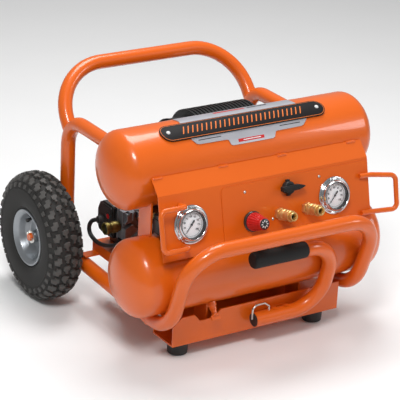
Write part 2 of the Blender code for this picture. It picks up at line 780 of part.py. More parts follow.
def make_lift_handle():
    pivot = add_pivot("lift_pivot", (0.0, *LIFT_LOW))
    low = Vector((0.0, 0.0, 0.0))
    high = Vector((0.0, LIFT_HIGH[0] - LIFT_LOW[0], LIFT_HIGH[1] - LIFT_LOW[1]))
    along = Vector((1.0, 0.0, 0.0))
    shapes = []
    for radius, low_x, high_x in (
        (LIFT_R, LIFT_LOW_END_X, LIFT_HIGH_END_X),
        (LIFT_R - LIFT_WALL, LIFT_LOW_END_X - 0.010, LIFT_HIGH_END_X + 0.003),
    ):
        corners = [
            low + along * low_x,
            low + along * LIFT_RIGHT_X,
            high + along * LIFT_RIGHT_X,
            high + along * high_x,
        ]
        shapes.append(tube(rounded_path(corners, [LIFT_CORNER_R] * 2), radius))
    handle = add_object("lift_handle", shapes[0], "orange_paint", pivot)
    boolean(handle, add_object("lift_handle_hollow", shapes[1], "orange_paint", pivot))
    rod = about_x(disc_stack(LIFT_ROD_R, LIFT_ROD_END_X, LIFT_HIGH_END_X + 0.0015, 16), high.y, high.z)
    boolean(handle, add_object("lift_rod", rod, "orange_paint", pivot), "UNION")
    hole = disc_stack(0.0026, 0.0, 0.03, 10, at=(0.015, 0.0))
    boolean(handle, add_object("bore_lock_pin", hole, "orange_paint", pivot))
    sleeve = [
        (0.0, GRIP_FROM_X),
        (GRIP_R, GRIP_FROM_X),
        (GRIP_R, GRIP_TO_X),
        (LIFT_ROD_R + GAP, GRIP_TO_X),
        (LIFT_ROD_R + GAP, LIFT_ROD_END_X - GAP),
        (0.0, LIFT_ROD_END_X - GAP),
    ]
    grip = about_x(lathe(sleeve, 16), high.y, high.z)
    add_object("foam_grip", grip, "black_foam", pivot)
    y, z = LIFT_LOW
    near, far = CLAMPS_X
    plate = box((near - 0.008, y + LIFT_R - 0.0010, z - 0.0125), (far + 0.008, CHANNEL_FRONT_Y - GAP, z + 0.0125))
    bracket = add_object("lift_bracket", plate, "orange_paint", smooth=False)
    for index, x in enumerate(CLAMPS_X):
        drum = about_x(disc_stack(LIFT_R + 0.0016, x - 0.006, x + 0.006, 26), y, z)
        boolean(bracket, add_object(f"clamp_drum_{index}", drum, "orange_paint"), "UNION")
    bore = about_x(disc_stack(LIFT_R + 0.0004, near - 0.02, far + 0.02, 24), y, z)
    boolean(bracket, add_object("bore_clamps", bore, "orange_paint"))
    mouth = box((near - 0.02, y - 0.030, z - 0.030), (far + 0.02, y - 0.006, z + 0.030))
    boolean(bracket, add_object("clamp_mouths", mouth, "orange_paint"))
    wire = [
        (-0.0240, y, z + 0.002),
        (-0.0240, y, z + 0.024),
        (-0.016, y, z + 0.031),
        (0.004, y, z + 0.031),
        (0.015, y, z + 0.023),
        (0.015, y, z + 0.004),
    ]
    path = rounded_path(wire, [0.004] * 4, math.radians(30))
    add_object("lock_pin", tube(path, 0.0021, sides=6), "zinc_steel")


# ---------------------------------------------------------------- air fittings


def make_fittings():
    switch = box((-0.2215, -0.205, 0.2625), (-0.1845, -0.165, 0.301))
    add_object("pressure_switch", switch, "black_plastic", smooth=False)
    x, y, low = -0.203, -0.190, 0.301 + GAP
    valve = [
        (0.0, low),
        (0.0085, low),
        (0.0085, low + 0.008),
        (0.0060, low + 0.009),
        (0.0060, low + 0.020),
        (0.0022, low + 0.020),
        (0.0022, low + 0.026),
        (0.0, low + 0.026),
    ]
    add_object("safety_valve", moved(lathe(valve, 14), (x, y, 0)), "brass")
    ring = lathe(
        [(0.0025, low + 0.0204), (0.0065, low + 0.0204), (0.0065, low + 0.0226), (0.0025, low + 0.0226)],
        16,
        closed=True,
    )
    add_object("safety_ring", moved(ring, (x, y, 0)), "zinc_steel")
    seat = TANK_R + 0.0006
    bung = [
        (0.0, seat - 0.0070),
        (0.0054, seat - 0.0070),
        (0.0054, seat),
        (0.0080, seat),
        (0.0080, seat + 0.0150),
        (0.0055, seat + 0.0160),
        (0.0055, seat + 0.0220),
        (0.0, seat + 0.0220),
    ]
    outward = Matrix.Rotation(DRAIN_TURN, 4, "X")
    add_object("drain_valve", moved(lathe(bung, 14), (DRAIN_X, *LOWER), outward), "orange_paint")
    tip = Vector((DRAIN_X, *LOWER)) + outward @ Vector((0, 0, seat + 0.0220 + GAP))
    pivot = add_pivot("drain_pivot", tip, outward)
    body = add_object("drain_knob", disc_stack(0.0070, 0.0, 0.006, 10), "orange_paint", pivot)
    wing = add_object("drain_wing", box((-0.010, -0.0022, 0.0040), (0.010, 0.0022, 0.013)), "orange_paint", pivot)
    boolean(body, wing, "UNION")


# ---------------------------------------------------------------- motor and pump


def make_motor():
    """Direct-drive motor with its fan, and the pump on its left end."""
    pivot = add_pivot("motor_pivot", (0.0, MOTOR_Y, MOTOR_Z))
    shell = [
        (0.012, -0.120),
        (0.040, -0.120),
        (MOTOR_R - 0.004, -0.112),
        (MOTOR_R, -0.100),
        (MOTOR_R, 0.022),
        (0.052, 0.030),
        (0.012, 0.030),
    ]
    motor = about_x(lathe(shell, 20, closed=True), MOTOR_Y, MOTOR_Z)
    motor = add_object("motor_body", motor, "black_enamel")
    foot = box((-0.085, MOTOR_Y - 0.042, DECK_Z + GAP), (0.010, MOTOR_Y + 0.042, MOTOR_Z - 0.045))
    boolean(motor, add_object("motor_foot", foot, "black_enamel"), "UNION")
    bore = about_x(disc_stack(0.012, -0.15, 0.05, 16), MOTOR_Y, MOTOR_Z)
    boolean(motor, add_object("bore_motor", bore, "black_enamel"))
    fan = [
        (0.0, -0.124),
        (0.010, -0.124),
        (0.010, 0.036),
        (0.056, 0.036),
        (0.056, 0.041),
        (0.014, 0.041),
        (0.014, 0.056),
        (0.0, 0.056),
    ]
    add_object("motor_rotor", about_x(lathe(fan, 20), 0.0, 0.0), "cast_aluminium", pivot)
    for index in range(6):
        blade = box((0.0400, 0.016, -0.0015), (0.0560, 0.054, 0.0015))
        moved(blade, (0, 0, 0), Matrix.Rotation(math.tau * index / 6, 4, "X"))
        blade = add_object(f"fan_blade_{index}", blade, "cast_aluminium", pivot)
        boolean(bpy.data.objects["motor_rotor"], blade, "UNION")


def shroud_section(half_y, low, top, crown):
    """Arched (y, z) section of the shroud."""
    points = [(MOTOR_Y - half_y, low), (MOTOR_Y + half_y, low)]
    for index in range(7):
        turn = math.pi * index / 6
        y = MOTOR_Y + half_y * math.cos(turn)
        points.append((y, top - crown + crown * math.sin(turn)))
    return points


def shroud_prism(left, right, section):
    """Extrude a (y, z) section along X."""
    return prism([(left, y, z) for y, z in section], (right - left, 0, 0))


def make_shroud():
    """Black cooling shroud over the motor's fan end, open below and around the motor."""
    left, right, wall = 0.000, 0.146, 0.003
    bm = shroud_prism(left, right, shroud_section(0.074, 0.150, 0.396, 0.068))
    shroud = add_object("pump_shroud", bm, "black_plastic", smooth=False)
    bm = shroud_prism(left - 0.041, left + 0.002, shroud_section(0.062, 0.2945, 0.382, 0.055))
    boolean(shroud, add_object("shroud_shoulder", bm, "black_plastic"), "UNION")
    bm = shroud_prism(left + wall, right - wall, shroud_section(0.071, 0.140, 0.393, 0.066))
    boolean(shroud, add_object("shroud_hollow", bm, "black_plastic"))
    bm = shroud_prism(left - 0.038, left + 0.010, shroud_section(0.059, 0.2845, 0.379, 0.053))
    boolean(shroud, add_object("shoulder_hollow", bm, "black_plastic"))
    bm = about_x(disc_stack(MOTOR_R + 0.002, left - 0.01, left + 0.01, 20), MOTOR_Y, MOTOR_Z)
    boolean(shroud, add_object("shroud_mouth", bm, "black_plastic"))
    bm = box((left - 0.01, MOTOR_Y - 0.048, 0.140), (left + 0.01, MOTOR_Y + 0.048, MOTOR_Z))
    boolean(shroud, add_object("shroud_slot", bm, "black_plastic"))


def make_pump():
    """Crankcase on the motor's left end, with its cylinder and head towards the front."""
    case = box((-0.186, 0.046, 0.156), (-0.1250, 0.108, 0.226))
    case = add_object("pump_crankcase", case, "black_enamel", smooth=False)
    bevel = case.modifiers.new("edges", "BEVEL")
    bevel.width = 0.012
    bevel.segments = 2
    pedestal = box((-0.160, 0.056, DECK_Z + GAP), (-0.1270, 0.098, 0.170))
    boolean(case, add_object("pump_pedestal", pedestal, "black_enamel"), "UNION")
    barrel_turn = Matrix.Rotation(math.radians(90), 4, "X")
    barrel = moved(disc_stack(0.026, -0.0700, -0.0300, 16), (-0.155, 0.0, 0.200), barrel_turn)
    boolean(case, add_object("pump_barrel", barrel, "black_enamel"), "UNION")
    bore = about_x(disc_stack(0.0060, -0.010, 0.007, 12), *RESET, -0.186)
    boolean(case, add_object("bore_reset", bore, "black_enamel"))
    head = bmesh.new()
    box((-0.186, 0.002, 0.168), (-0.124, 0.0297, 0.232), head)
    head = add_object("cylinder_head", head, "cast_aluminium", smooth=False)
    fins = bmesh.new()
    for index in range(5):
        x = -0.180 + 0.0125 * index
        box((x, -0.004, 0.172), (x + 0.004, 0.010, 0.228), fins)
    boolean(head, add_object("head_fins", fins, "cast_aluminium"), "UNION")
    plug = [(0, -0.0330), (0.0130, -0.0330), (0.0130, -0.0240), (0.0115, -0.0230), (0.0115, -0.0006), (0, -0.0006)]
    fitting = about_x(lathe(plug, 14), 0.020, 0.196, -0.186)
    add_object("intake_fitting", fitting, "brass")
    button = about_x(disc_stack(0.0055, -0.0090, 0.0025, 12), *RESET, -0.186)
    add_object("reset_button", button, "red_plastic")
    path = rounded_path(
        [
            (-0.155, -0.0043, 0.215),
            (-0.155, -0.0300, 0.215),
            (INLET[0], INLET[1], 0.256),
            (INLET[0], INLET[1], 0.305),
        ],
        [0.015, 0.012],
        math.radians(30),
    )
    add_object("discharge_tube", tube(path, 0.0048, sides=8), "copper")


def make_motor_lead():
    """Cable from the pump's left end, round below and forward to the pressure switch."""
    route = [
        Vector(point)
        for point in (
            (-0.1880, 0.090, 0.184),
            (-0.1930, 0.092, 0.184),
            (-0.1990, 0.106, 0.176),
            (-0.1995, 0.115, 0.158),
            (-0.1985, 0.106, 0.1430),
            (-0.1980, 0.072, 0.1390),
            (-0.1980, 0.018, 0.1560),
            (-0.1990, -0.040, 0.1900),
            (-0.2040, -0.085, 0.2250),
            (-0.2080, -0.122, 0.2590),
            (-0.2080, -0.146, 0.2740),
            (-0.2080, -0.1642, 0.2760),
        )
    ]
    cable = bpy.data.curves.new("motor_lead", "CURVE")
    cable.dimensions = "3D"
    cable.bevel_depth = 0.0042
    cable.bevel_resolution = 1
    cable.use_fill_caps = True
    points = smooth_curve(route, 2)
    spline = cable.splines.new("POLY")
    spline.points.add(len(points) - 1)
    for target, point in zip(spline.points, points):
        target.co = (*point, 1.0)
    cable.materials.append(material("black_rubber"))
    made = bpy.data.objects.new("motor_lead", cable)
    bpy.context.scene.collection.objects.link(made)


def smooth_curve(route, steps):
    """Points along a Catmull-Rom curve through the route."""
    ends = [2 * route[0] - route[1], *route, 2 * route[-1] - route[-2]]
    points = []
    for a, b, c, d in zip(ends, ends[1:], ends[2:], ends[3:]):
        for index in range(steps):
            t = index / steps
            points.append(
                0.5 * ((2 * b) + (c - a) * t + (2 * a - 5 * b + 4 * c - d) * t**2 + (3 * b - a - 3 * c + d) * t**3)
            )
    points.append(route[-1])
    return points


def main():
    for old in list(bpy.data.objects):
        bpy.data.objects.remove(old, do_unlink=True)
    face = add_pivot("panel_face", FACE_MID, Matrix.Rotation(FACE_TURN, 4, "X"))
    make_tanks()
    make_tank_brackets()
    make_frame()
    make_channel()
    make_feet()
    make_deck()
    make_wheels()
    make_panel(face)
    make_gauge("left", LEFT_GAUGE, GAP, face)
    make_gauge("right", RIGHT_GAUGE, COVER_SHEET + GAP, face)
    make_regulator(face)
    make_couplers(face)
    make_switch(face)
    make_cord_hooks(face)
    make_name_plate()
    make_lift_handle()
    make_fittings()
    make_motor()
    make_shroud()
    make_pump()
    make_motor_lead()
    for made in bpy.data.objects:
        if made.parent is None:
            made.location.y += CENTRE_SHIFT


main()
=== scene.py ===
"""Looks of the wheeled air compressor with stacked tanks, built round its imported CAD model."""

import json
import math

import bmesh
import bpy
from mathutils import Matrix, Vector

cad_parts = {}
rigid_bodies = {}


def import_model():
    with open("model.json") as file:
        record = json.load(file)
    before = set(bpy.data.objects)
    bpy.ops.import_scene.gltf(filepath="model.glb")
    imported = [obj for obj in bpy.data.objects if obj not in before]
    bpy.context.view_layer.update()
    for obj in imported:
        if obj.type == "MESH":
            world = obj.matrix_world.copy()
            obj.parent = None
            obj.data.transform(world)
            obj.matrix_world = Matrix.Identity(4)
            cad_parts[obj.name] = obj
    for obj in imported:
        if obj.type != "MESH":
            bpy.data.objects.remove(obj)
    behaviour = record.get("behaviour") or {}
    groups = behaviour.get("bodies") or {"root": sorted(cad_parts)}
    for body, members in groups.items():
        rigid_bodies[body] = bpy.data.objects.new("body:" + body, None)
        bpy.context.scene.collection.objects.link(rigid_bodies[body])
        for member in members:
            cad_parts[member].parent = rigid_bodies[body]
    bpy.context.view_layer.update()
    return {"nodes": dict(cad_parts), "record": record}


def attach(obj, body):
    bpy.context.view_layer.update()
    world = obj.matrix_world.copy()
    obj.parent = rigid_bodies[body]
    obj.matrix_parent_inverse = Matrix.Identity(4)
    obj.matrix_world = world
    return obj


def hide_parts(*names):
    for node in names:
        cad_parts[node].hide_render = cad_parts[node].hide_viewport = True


for old in list(bpy.data.objects):
    bpy.data.objects.remove(old, do_unlink=True)
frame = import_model()

# The layout below is the CAD source's own. SHIFT carries it to the row frame.
SHIFT = Matrix.Translation((0, 0.0016, 0))

TUBE_R = 0.015
FRAME_X = 0.219
SIDE_TOP = 0.382
SIDE_LOW = 0.081
HOOP_JOINT_Y = -0.1665
HOOP_TOP = (-0.298, 0.262)
HANDLE_MID_X = 0.004
HANDLE_X = 0.2203
HANDLE_FOOT = (0.173, 0.356)
HANDLE_BAR = (0.253, 0.46)
UPPER = (-0.109, 0.3755)
LOWER = (-0.169, 0.1745)
TANK_R = 0.078
TANK_HALF = 0.2575
DOME = 0.0415
AXLE = (0.175, 0.134)
WHEEL_X = 0.279
LIFT_LOW = (-0.233, 0.061)
LIFT_HIGH = (-0.279, 0.216)
MOTOR = (0.068, 0.232)
PANEL_BEND = (-0.215, 0.356)
PANEL_LOW = (-0.244, 0.233)
FACE_MID = Vector((0, (PANEL_BEND[0] + PANEL_LOW[0]) / 2, (PANEL_BEND[1] + PANEL_LOW[1]) / 2))
FACE_TURN = math.atan2(PANEL_BEND[1] - PANEL_LOW[1], PANEL_BEND[0] - PANEL_LOW[0])
FACE = Matrix.Translation(FACE_MID) @ Matrix.Rotation(FACE_TURN, 4, "X")
COVER = 0.0018


# ---------------- materials


def link(tree, a, b):
    tree.links.new(a, b)


SLOT_OF = {}


def finish_of(name, colours, rough, metallic=0.0, coat=0.0, tone=6.0, grain=400.0, bump=0.0, **extra):
    """Principled material with drifting colour and roughness, and a fine bump."""
    made = bpy.data.materials.new(name)
    SLOT_OF[made.name] = name
    made.use_nodes = True
    tree = made.node_tree
    shader = tree.nodes["Principled BSDF"]
    shader.inputs["Metallic"].default_value = metallic
    shader.inputs["Coat Weight"].default_value = coat
    shader.inputs["Coat Roughness"].default_value = extra.get("coat_rough", 0.05)
    shader.inputs["IOR"].default_value = extra.get("ior", 1.5)
    shader.inputs["Specular IOR Level"].default_value = extra.get("specular", 0.5)
    place = tree.nodes.new("ShaderNodeTexCoord")
    drift = tree.nodes.new("ShaderNodeTexNoise")
    drift.inputs["Scale"].default_value = tone
    drift.inputs["Detail"].default_value = 6.0
    link(tree, place.outputs["Object"], drift.inputs["Vector"])
    mix = tree.nodes.new("ShaderNodeMix")
    mix.data_type = "RGBA"
    mix.inputs["A"].default_value = (*colours[0], 1.0)
    mix.inputs["B"].default_value = (*colours[1], 1.0)
    link(tree, drift.outputs["Fac"], mix.inputs["Factor"])
    link(tree, mix.outputs["Result"], shader.inputs["Base Color"])
    fine = tree.nodes.new("ShaderNodeTexNoise")
    fine.inputs["Scale"].default_value = grain
    fine.inputs["Detail"].default_value = extra.get("detail", 3.0)
    link(tree, place.outputs["Object"], fine.inputs["Vector"])
    spread = tree.nodes.new("ShaderNodeMapRange")
    spread.inputs["To Min"].default_value = rough[0]
    spread.inputs["To Max"].default_value = rough[1]
    link(tree, drift.outputs["Fac"], spread.inputs["Value"])
    link(tree, spread.outputs["Result"], shader.inputs["Roughness"])
    if bump:
        height = tree.nodes.new("ShaderNodeBump")
        height.inputs["Strength"].default_value = bump
        height.inputs["Distance"].default_value = extra.get("depth", 0.0004)
        link(tree, fine.outputs["Fac"], height.inputs["Height"])
        link(tree, height.outputs["Normal"], shader.inputs["Normal"])
    return made


PAINT = finish_of(
    "orange_paint", ((0.66, 0.104, 0.003), (0.72, 0.122, 0.005)), (0.28, 0.38),
    coat=0.45, tone=5.0, grain=260.0, bump=0.08, depth=0.0003, coat_rough=0.06, specular=0.35,
)
TYRE = finish_of(
    "tyre_rubber", ((0.01, 0.01, 0.009), (0.036, 0.034, 0.032)), (0.6, 0.8),
    tone=40.0, grain=900.0, bump=0.5, specular=0.35,
)
# Lighter grey for the tread blocks: painted highlight where their tops catch the light.
TREAD_HIGHLIGHT = finish_of(
    "tread_painted_highlight", ((0.022, 0.021, 0.02), (0.11, 0.105, 0.098)), (0.48, 0.66),
    tone=60.0, grain=1100.0, bump=0.6, specular=0.45,
)
RUBBER = finish_of("black_rubber", ((0.01, 0.01, 0.01), (0.02, 0.02, 0.02)), (0.45, 0.65), tone=30, bump=0.2)
FOAM = finish_of(
    "black_foam", ((0.006, 0.006, 0.006), (0.014, 0.014, 0.014)), (0.62, 0.8),
    tone=300.0, grain=1400.0, bump=0.6, depth=0.0004, specular=0.3,
)
PLASTIC = finish_of(
    "black_plastic", ((0.008, 0.008, 0.008), (0.015, 0.015, 0.015)), (0.38, 0.5), grain=1800, bump=0.2,
    specular=0.3,
)
SHROUD = finish_of(
    "shroud_plastic", ((0.008, 0.009, 0.009), (0.016, 0.017, 0.018)), (0.48, 0.6), grain=1500, bump=0.3,
    specular=0.3,
)
RED = finish_of("red_plastic", ((0.42, 0.008, 0.01), (0.55, 0.014, 0.014)), (0.28, 0.38), tone=60, bump=0.1)
CHROME = finish_of(
    "chrome", ((0.62, 0.63, 0.64), (0.74, 0.75, 0.76)), (0.1, 0.2), 1.0, tone=30, grain=700, bump=0.05,
)
RIM = finish_of(
    "rim_paint", ((0.26, 0.28, 0.3), (0.36, 0.38, 0.4)), (0.3, 0.42), 0.75, tone=25, grain=900, bump=0.15,
)
ZINC = finish_of("zinc_steel", ((0.5, 0.5, 0.48), (0.66, 0.66, 0.63)), (0.25, 0.4), 1.0, tone=120, bump=0.2)
BRASS = finish_of(
    "brass", ((0.66, 0.43, 0.15), (0.84, 0.6, 0.27)), (0.26, 0.4), 0.8, tone=90, grain=900, bump=0.12,
)
OLD_BRASS = finish_of(
    "aged_brass", ((0.035, 0.03, 0.014), (0.3, 0.23, 0.06)), (0.3, 0.5), 0.85, tone=120, grain=900, bump=0.3,
)
COPPER = finish_of("copper", ((0.55, 0.22, 0.12), (0.72, 0.33, 0.19)), (0.22, 0.36), 1.0, tone=60, bump=0.1)
CASTING = finish_of(
    "cast_aluminium", ((0.14, 0.15, 0.16), (0.34, 0.35, 0.37)), (0.4, 0.6), 0.8, tone=80, grain=1200,
    bump=0.5,
)
ENAMEL = finish_of(
    "black_enamel", ((0.01, 0.01, 0.01), (0.02, 0.02, 0.02)), (0.28, 0.42), coat=0.3, bump=0.1,
)
# Near-black fill for the insides of sockets and openings: painted shade of the bores.
BORE_SHADE = finish_of("bore_painted_shade", ((0.004, 0.004, 0.004), (0.008, 0.008, 0.008)), (0.7, 0.9), tone=80, bump=0.2)
SILVER = finish_of(
    "silver_sheet", ((0.42, 0.42, 0.46), (0.54, 0.54, 0.58)), (0.34, 0.46), 0.6, tone=20, grain=1500,
    bump=0.1,
)
PLATE = finish_of(
    "plate_black", ((0.006, 0.005, 0.006), (0.012, 0.01, 0.01)), (0.45, 0.55), bump=0.05, specular=0.18,
)
STRIPE = finish_of(
    "stripe_orange", ((0.62, 0.15, 0.03), (0.72, 0.19, 0.04)), (0.45, 0.55), bump=0.05, specular=0.2,
)
DIAL = finish_of("dial_white", ((0.88, 0.9, 0.93), (0.93, 0.94, 0.96)), (0.45, 0.6), tone=50, bump=0.05)
INK = finish_of("dial_ink", ((0.01, 0.01, 0.012), (0.02, 0.02, 0.024)), (0.4, 0.6), tone=200, bump=0.1)
PALE = finish_of("pale_mark", ((0.6, 0.6, 0.6), (0.78, 0.78, 0.78)), (0.4, 0.55), tone=200, bump=0.1)


def clear_glass():
    made = finish_of("clear_lens", ((0.95, 0.97, 1.0), (1.0, 1.0, 1.0)), (0.02, 0.05), ior=1.45)
    shader = made.node_tree.nodes["Principled BSDF"]
    shader.inputs["Transmission Weight"].default_value = 1.0
    shader.inputs["Alpha"].default_value = 0.06
    return made


GLASS = clear_glass()

# ---------------- shapes


class Shape:
    """Collects vertices and faces, and makes one piece of them."""

    def __init__(self):
        self.verts = []
        self.faces = []
        self.marks = []

    def add(self, part, place=None, mark=0):
        verts, faces = part
        start = len(self.verts)
        place = place or Matrix.Identity(4)
        self.verts += [place @ Vector(v) for v in verts]
        self.faces += [[start + i for i in face] for face in faces]
        self.marks += [mark] * len(faces)
        return self

    def make(self, name, finish, body="machine", slot=None, place=None, bevel=0.0, angle=38):
        """Build the piece, in CAD layout coordinates carried to the row frame.

        It stands for the CAD node of its own name, if there is one. The slot argument is not used.
        """
        place = SHIFT @ (place or Matrix.Identity(4))
        mesh = bpy.data.meshes.new(name)
        mesh.from_pydata([place @ v for v in self.verts], [], self.faces)
        bm = bmesh.new()
        bm.from_mesh(mesh)
        bmesh.ops.recalc_face_normals(bm, faces=bm.faces)
        bm.to_mesh(mesh)
        bm.free()
        finishes = finish if isinstance(finish, list) else [finish]
        for one in finishes:
            mesh.materials.append(one)
        mesh.polygons.foreach_set("material_index", self.marks)
        mesh.shade_smooth()
        mesh.set_sharp_from_angle(angle=math.radians(angle))
        made = bpy.data.objects.new(name, mesh)
        bpy.context.scene.collection.objects.link(made)
        if bevel:
            soften_edges(made, bevel)
        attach(made, body)
        if name in frame["nodes"]:
            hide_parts(name)
        return made


def soften_edges(piece, width):
    """Bevel the sharp edges of a piece."""
    edge = piece.modifiers.new("edges", "BEVEL")
    edge.width = width
    edge.segments = 2
    edge.limit_method = "ANGLE"
    edge.angle_limit = math.radians(40)


def spin(profile, segments=64, closed=False):
    """Turn (radius, height) points about Z."""
    verts = []
    rings = []
    for radius, height in profile:
        if radius < 1e-7:
            rings.append([len(verts)])
            verts.append((0, 0, height))
            continue
        rings.append(list(range(len(verts), len(verts) + segments)))
        for index in range(segments):
            turn = math.tau * index / segments
            verts.append((radius * math.cos(turn), radius * math.sin(turn), height))
    pairs = list(zip(rings, rings[1:]))
    if closed:
        pairs.append((rings[-1], rings[0]))
    return verts, [face for low, high in pairs for face in strip(low, high)]


def strip(low, high):
    """Faces between two rings, either of which may be a single point."""
    count = max(len(low), len(high))
    faces = []
    for a in range(count if count > 1 else 0):
        b = (a + 1) % count
        if len(low) == 1:
            faces.append([low[0], high[b], high[a]])
        elif len(high) == 1:
            faces.append([low[a], low[b], high[0]])
        else:
            faces.append([low[a], low[b], high[b], high[a]])
    return faces


def soft(profile, radius, steps=3):
    """Round the inner corners of an open (radius, height) line."""
    points = [Vector(p) for p in profile]
    out = [tuple(points[0])]
    for before, corner, after in zip(points, points[1:], points[2:]):
        reach = min(radius, (before - corner).length * 0.45, (after - corner).length * 0.45)
        a = corner + (before - corner).normalized() * reach
        b = corner + (after - corner).normalized() * reach
        for index in range(steps + 1):
            t = index / steps
            out.append(tuple((1 - t) ** 2 * a + 2 * t * (1 - t) * corner + t * t * b))
    out.append(tuple(points[-1]))
    return out


def rounded_path(corners, radii, step=math.radians(5)):
    """Replace each inner corner of a polyline with an arc of the given radius."""
    corners = [Vector(corner) for corner in corners]
    path = [corners[0]]
    for before, corner, after, radius in zip(corners, corners[1:], corners[2:], radii):
        inward = (before - corner).normalized()
        outward = (after - corner).normalized()
        turn = math.pi - inward.angle(outward)
        reach = radius * math.tan(turn / 2)
        centre = corner + (inward + outward).normalized() * (radius / math.cos(turn / 2))
        start = corner + inward * reach - centre
        axis = start.cross(corner + outward * reach - centre).normalized()
        count = max(2, math.ceil(turn / step))
        for index in range(count + 1):
            path.append(centre + Matrix.Rotation(turn * index / count, 3, axis) @ start)
    path.append(corners[-1])
    return path


def sweep(path, radius, sides=32, ends=True):
    """Round bar along a path. radius is one number, or one for each point."""
    path = [Vector(p) for p in path]
    radii = radius if isinstance(radius, (list, tuple)) else [radius] * len(path)
    verts = []
    rings = []
    side = None
    last = None
    for index, (point, size) in enumerate(zip(path, radii)):
        after = (path[min(index + 1, len(path) - 1)] - point).normalized()
        before = (point - path[max(index - 1, 0)]).normalized()
        tangent = (after + before).normalized()
        side = tangent.orthogonal().normalized() if side is None else last.rotation_difference(
            tangent
        ) @ side
        last = tangent
        other = tangent.cross(side)
        rings.append(list(range(len(verts), len(verts) + sides)))
        for corner in range(sides):
            turn = math.tau * corner / sides
            verts.append(point + side * size * math.cos(turn) + other * size * math.sin(turn))
    faces = [face for low, high in zip(rings, rings[1:]) for face in strip(low, high)]
    if ends:
        faces += [rings[0][::-1], rings[-1]]
    return verts, faces


def open_pipe(path, radius, wall, depth, sides=32):
    """Bar whose ends are open to a given depth."""
    verts, faces = sweep(path, radius, sides, ends=False)
    verts = [Vector(v) for v in verts]
    for end, inward in ((0, path[1] - path[0]), (len(verts) - sides, path[-2] - path[-1])):
        centre = sum(verts[end : end + sides], Vector()) / sides
        step = inward.normalized() * depth
        lip = range(len(verts), len(verts) + sides)
        verts += [centre + (verts[end + i] - centre) * (1 - wall / radius) for i in range(sides)]
        floor = range(len(verts), len(verts) + sides)
        verts += [verts[i] + step for i in lip]
        faces += strip(
            list(range(end, end + sides)), list(lip),
        ) + strip(list(lip), list(floor)) + [list(floor)]
    return verts, faces


def slab(outline, low, high):
    """Flat outline of (u, v) points raised from low to high."""
    count = len(outline)
    verts = [(u, v, low) for u, v in outline] + [(u, v, high) for u, v in outline]
    faces = [list(range(count))[::-1], list(range(count, 2 * count))]
    return verts, faces + strip(list(range(count)), list(range(count, 2 * count)))


def block(low, high):
    """Box between two corners."""
    outline = [(low[0], low[1]), (high[0], low[1]), (high[0], high[1]), (low[0], high[1])]
    return slab(outline, low[2], high[2])


YZ_ALONG_X = Matrix(((0, 0, 1, 0), (1, 0, 0, 0), (0, 1, 0, 0), (0, 0, 0, 1)))
XZ_FACING_FRONT = Matrix(((1, 0, 0, 0), (0, 0, -1, 0), (0, 1, 0, 0), (0, 0, 0, 1)))


def turned_at(place, degrees, axis):
    """Frame at a place, turned about one axis."""
    return Matrix.Translation(place) @ Matrix.Rotation(math.radians(degrees), 4, axis)


def along_x(y, z, x=0.0):
    """Frame whose local Z runs along X through (y, z)."""
    return turned_at((x, y, z), 90, "Y")


def on_face(u, v, w=0.0, turn=0.0):
    """Frame that stands on the control panel, with local Z out of it."""
    return FACE @ Matrix.Translation((u, v, w)) @ Matrix.Rotation(turn, 4, "Z")


def screw(radius=0.003, height=0.0018):
    """Pan head with a round dip in the middle."""
    dome = [(0, height * 0.55), (radius * 0.28, height * 0.55), (radius * 0.36, height)]
    dome += [
        (radius * math.cos(a), height * math.sin(a)) for a in [math.radians(d) for d in (65, 45, 22, 0)]
    ]
    return spin(dome + [(0, 0)], 20)


def keep(node, finish, bevel=0.0):
    """Dress a CAD node that stays in view."""
    shown = frame["nodes"][node]
    shown.data.materials.clear()
    shown.data.materials.append(finish)
    if bevel:
        soften_edges(shown, bevel)


# ---------------- tanks and frame


def tank(name, centre):
    steps = 14
    rising = [math.pi / 2 * index / steps for index in range(steps + 1)]
    left = [(TANK_R * math.sin(a), -TANK_HALF - DOME * math.cos(a)) for a in rising]
    Shape().add(spin(left + [(r, -h) for r, h in left[::-1]], 96)).make(name, PAINT, place=along_x(*centre))


def tanks():
    tank("upper_tank", UPPER)
    tank("lower_tank", LOWER)


def frame_tubes():
    for side, x in (("left", -FRAME_X), ("right", FRAME_X)):
        back = AXLE[0]
        corners = [
            (x, UPPER[0] + 0.055, SIDE_TOP), (x, back, SIDE_TOP), (x, back, 0.092),
            (x, HOOP_JOINT_Y, SIDE_LOW),
        ]
        tube = Shape().add(sweep(rounded_path(corners, [0.06] * 2), TUBE_R, 40))
        stub = [(0, -0.008), (0.008, -0.008), (0.008, 0.086), (0.007, 0.088), (0, 0.088)]
        turn = Matrix.Translation((x, *AXLE)) @ Matrix.Rotation(math.copysign(math.pi / 2, x), 4, "Y")
        tube.add(spin(stub, 40), turn)
        tube.add(
            spin([(0, 0.0125), (0.0118, 0.0125), (0.0118, 0.015), (0.0098, 0.019), (0, 0.019)], 40), turn,
        )
        tube.make(f"frame_tube_{side}", PAINT)
    half = [(HOOP_JOINT_Y, SIDE_LOW), (-0.237, SIDE_LOW), HOOP_TOP]
    corners = [(-FRAME_X, *point) for point in half] + [(FRAME_X, *point) for point in half[::-1]]
    bar = sweep(rounded_path(corners, [0.083, 0.076, 0.076, 0.083]), TUBE_R, 40)
    Shape().add(bar).make("front_hoop", PAINT)
    left, right = HANDLE_MID_X - HANDLE_X, HANDLE_MID_X + HANDLE_X
    corners = [(left, *HANDLE_FOOT), (left, *HANDLE_BAR), (right, *HANDLE_BAR), (right, *HANDLE_FOOT)]
    bar = sweep(rounded_path(corners, [0.112] * 2), TUBE_R, 40)
    Shape().add(bar).make("rear_handle", PAINT)
    crown = ((-0.0022, -0.0004), (-0.0012, 0.0007), (0.0, 0.001), (0.0012, 0.0007), (0.0022, -0.0004))
    for side, x in (("left", -1), ("right", 1)):
        ring = [(x * FRAME_X, HOOP_JOINT_Y + along, SIDE_LOW) for along, _ in crown]
        bead = Shape().add(sweep(ring, [TUBE_R + proud for _, proud in crown], 40))
        bead.make(f"weld_bead_{side}", PAINT)


# ---------------- wheels


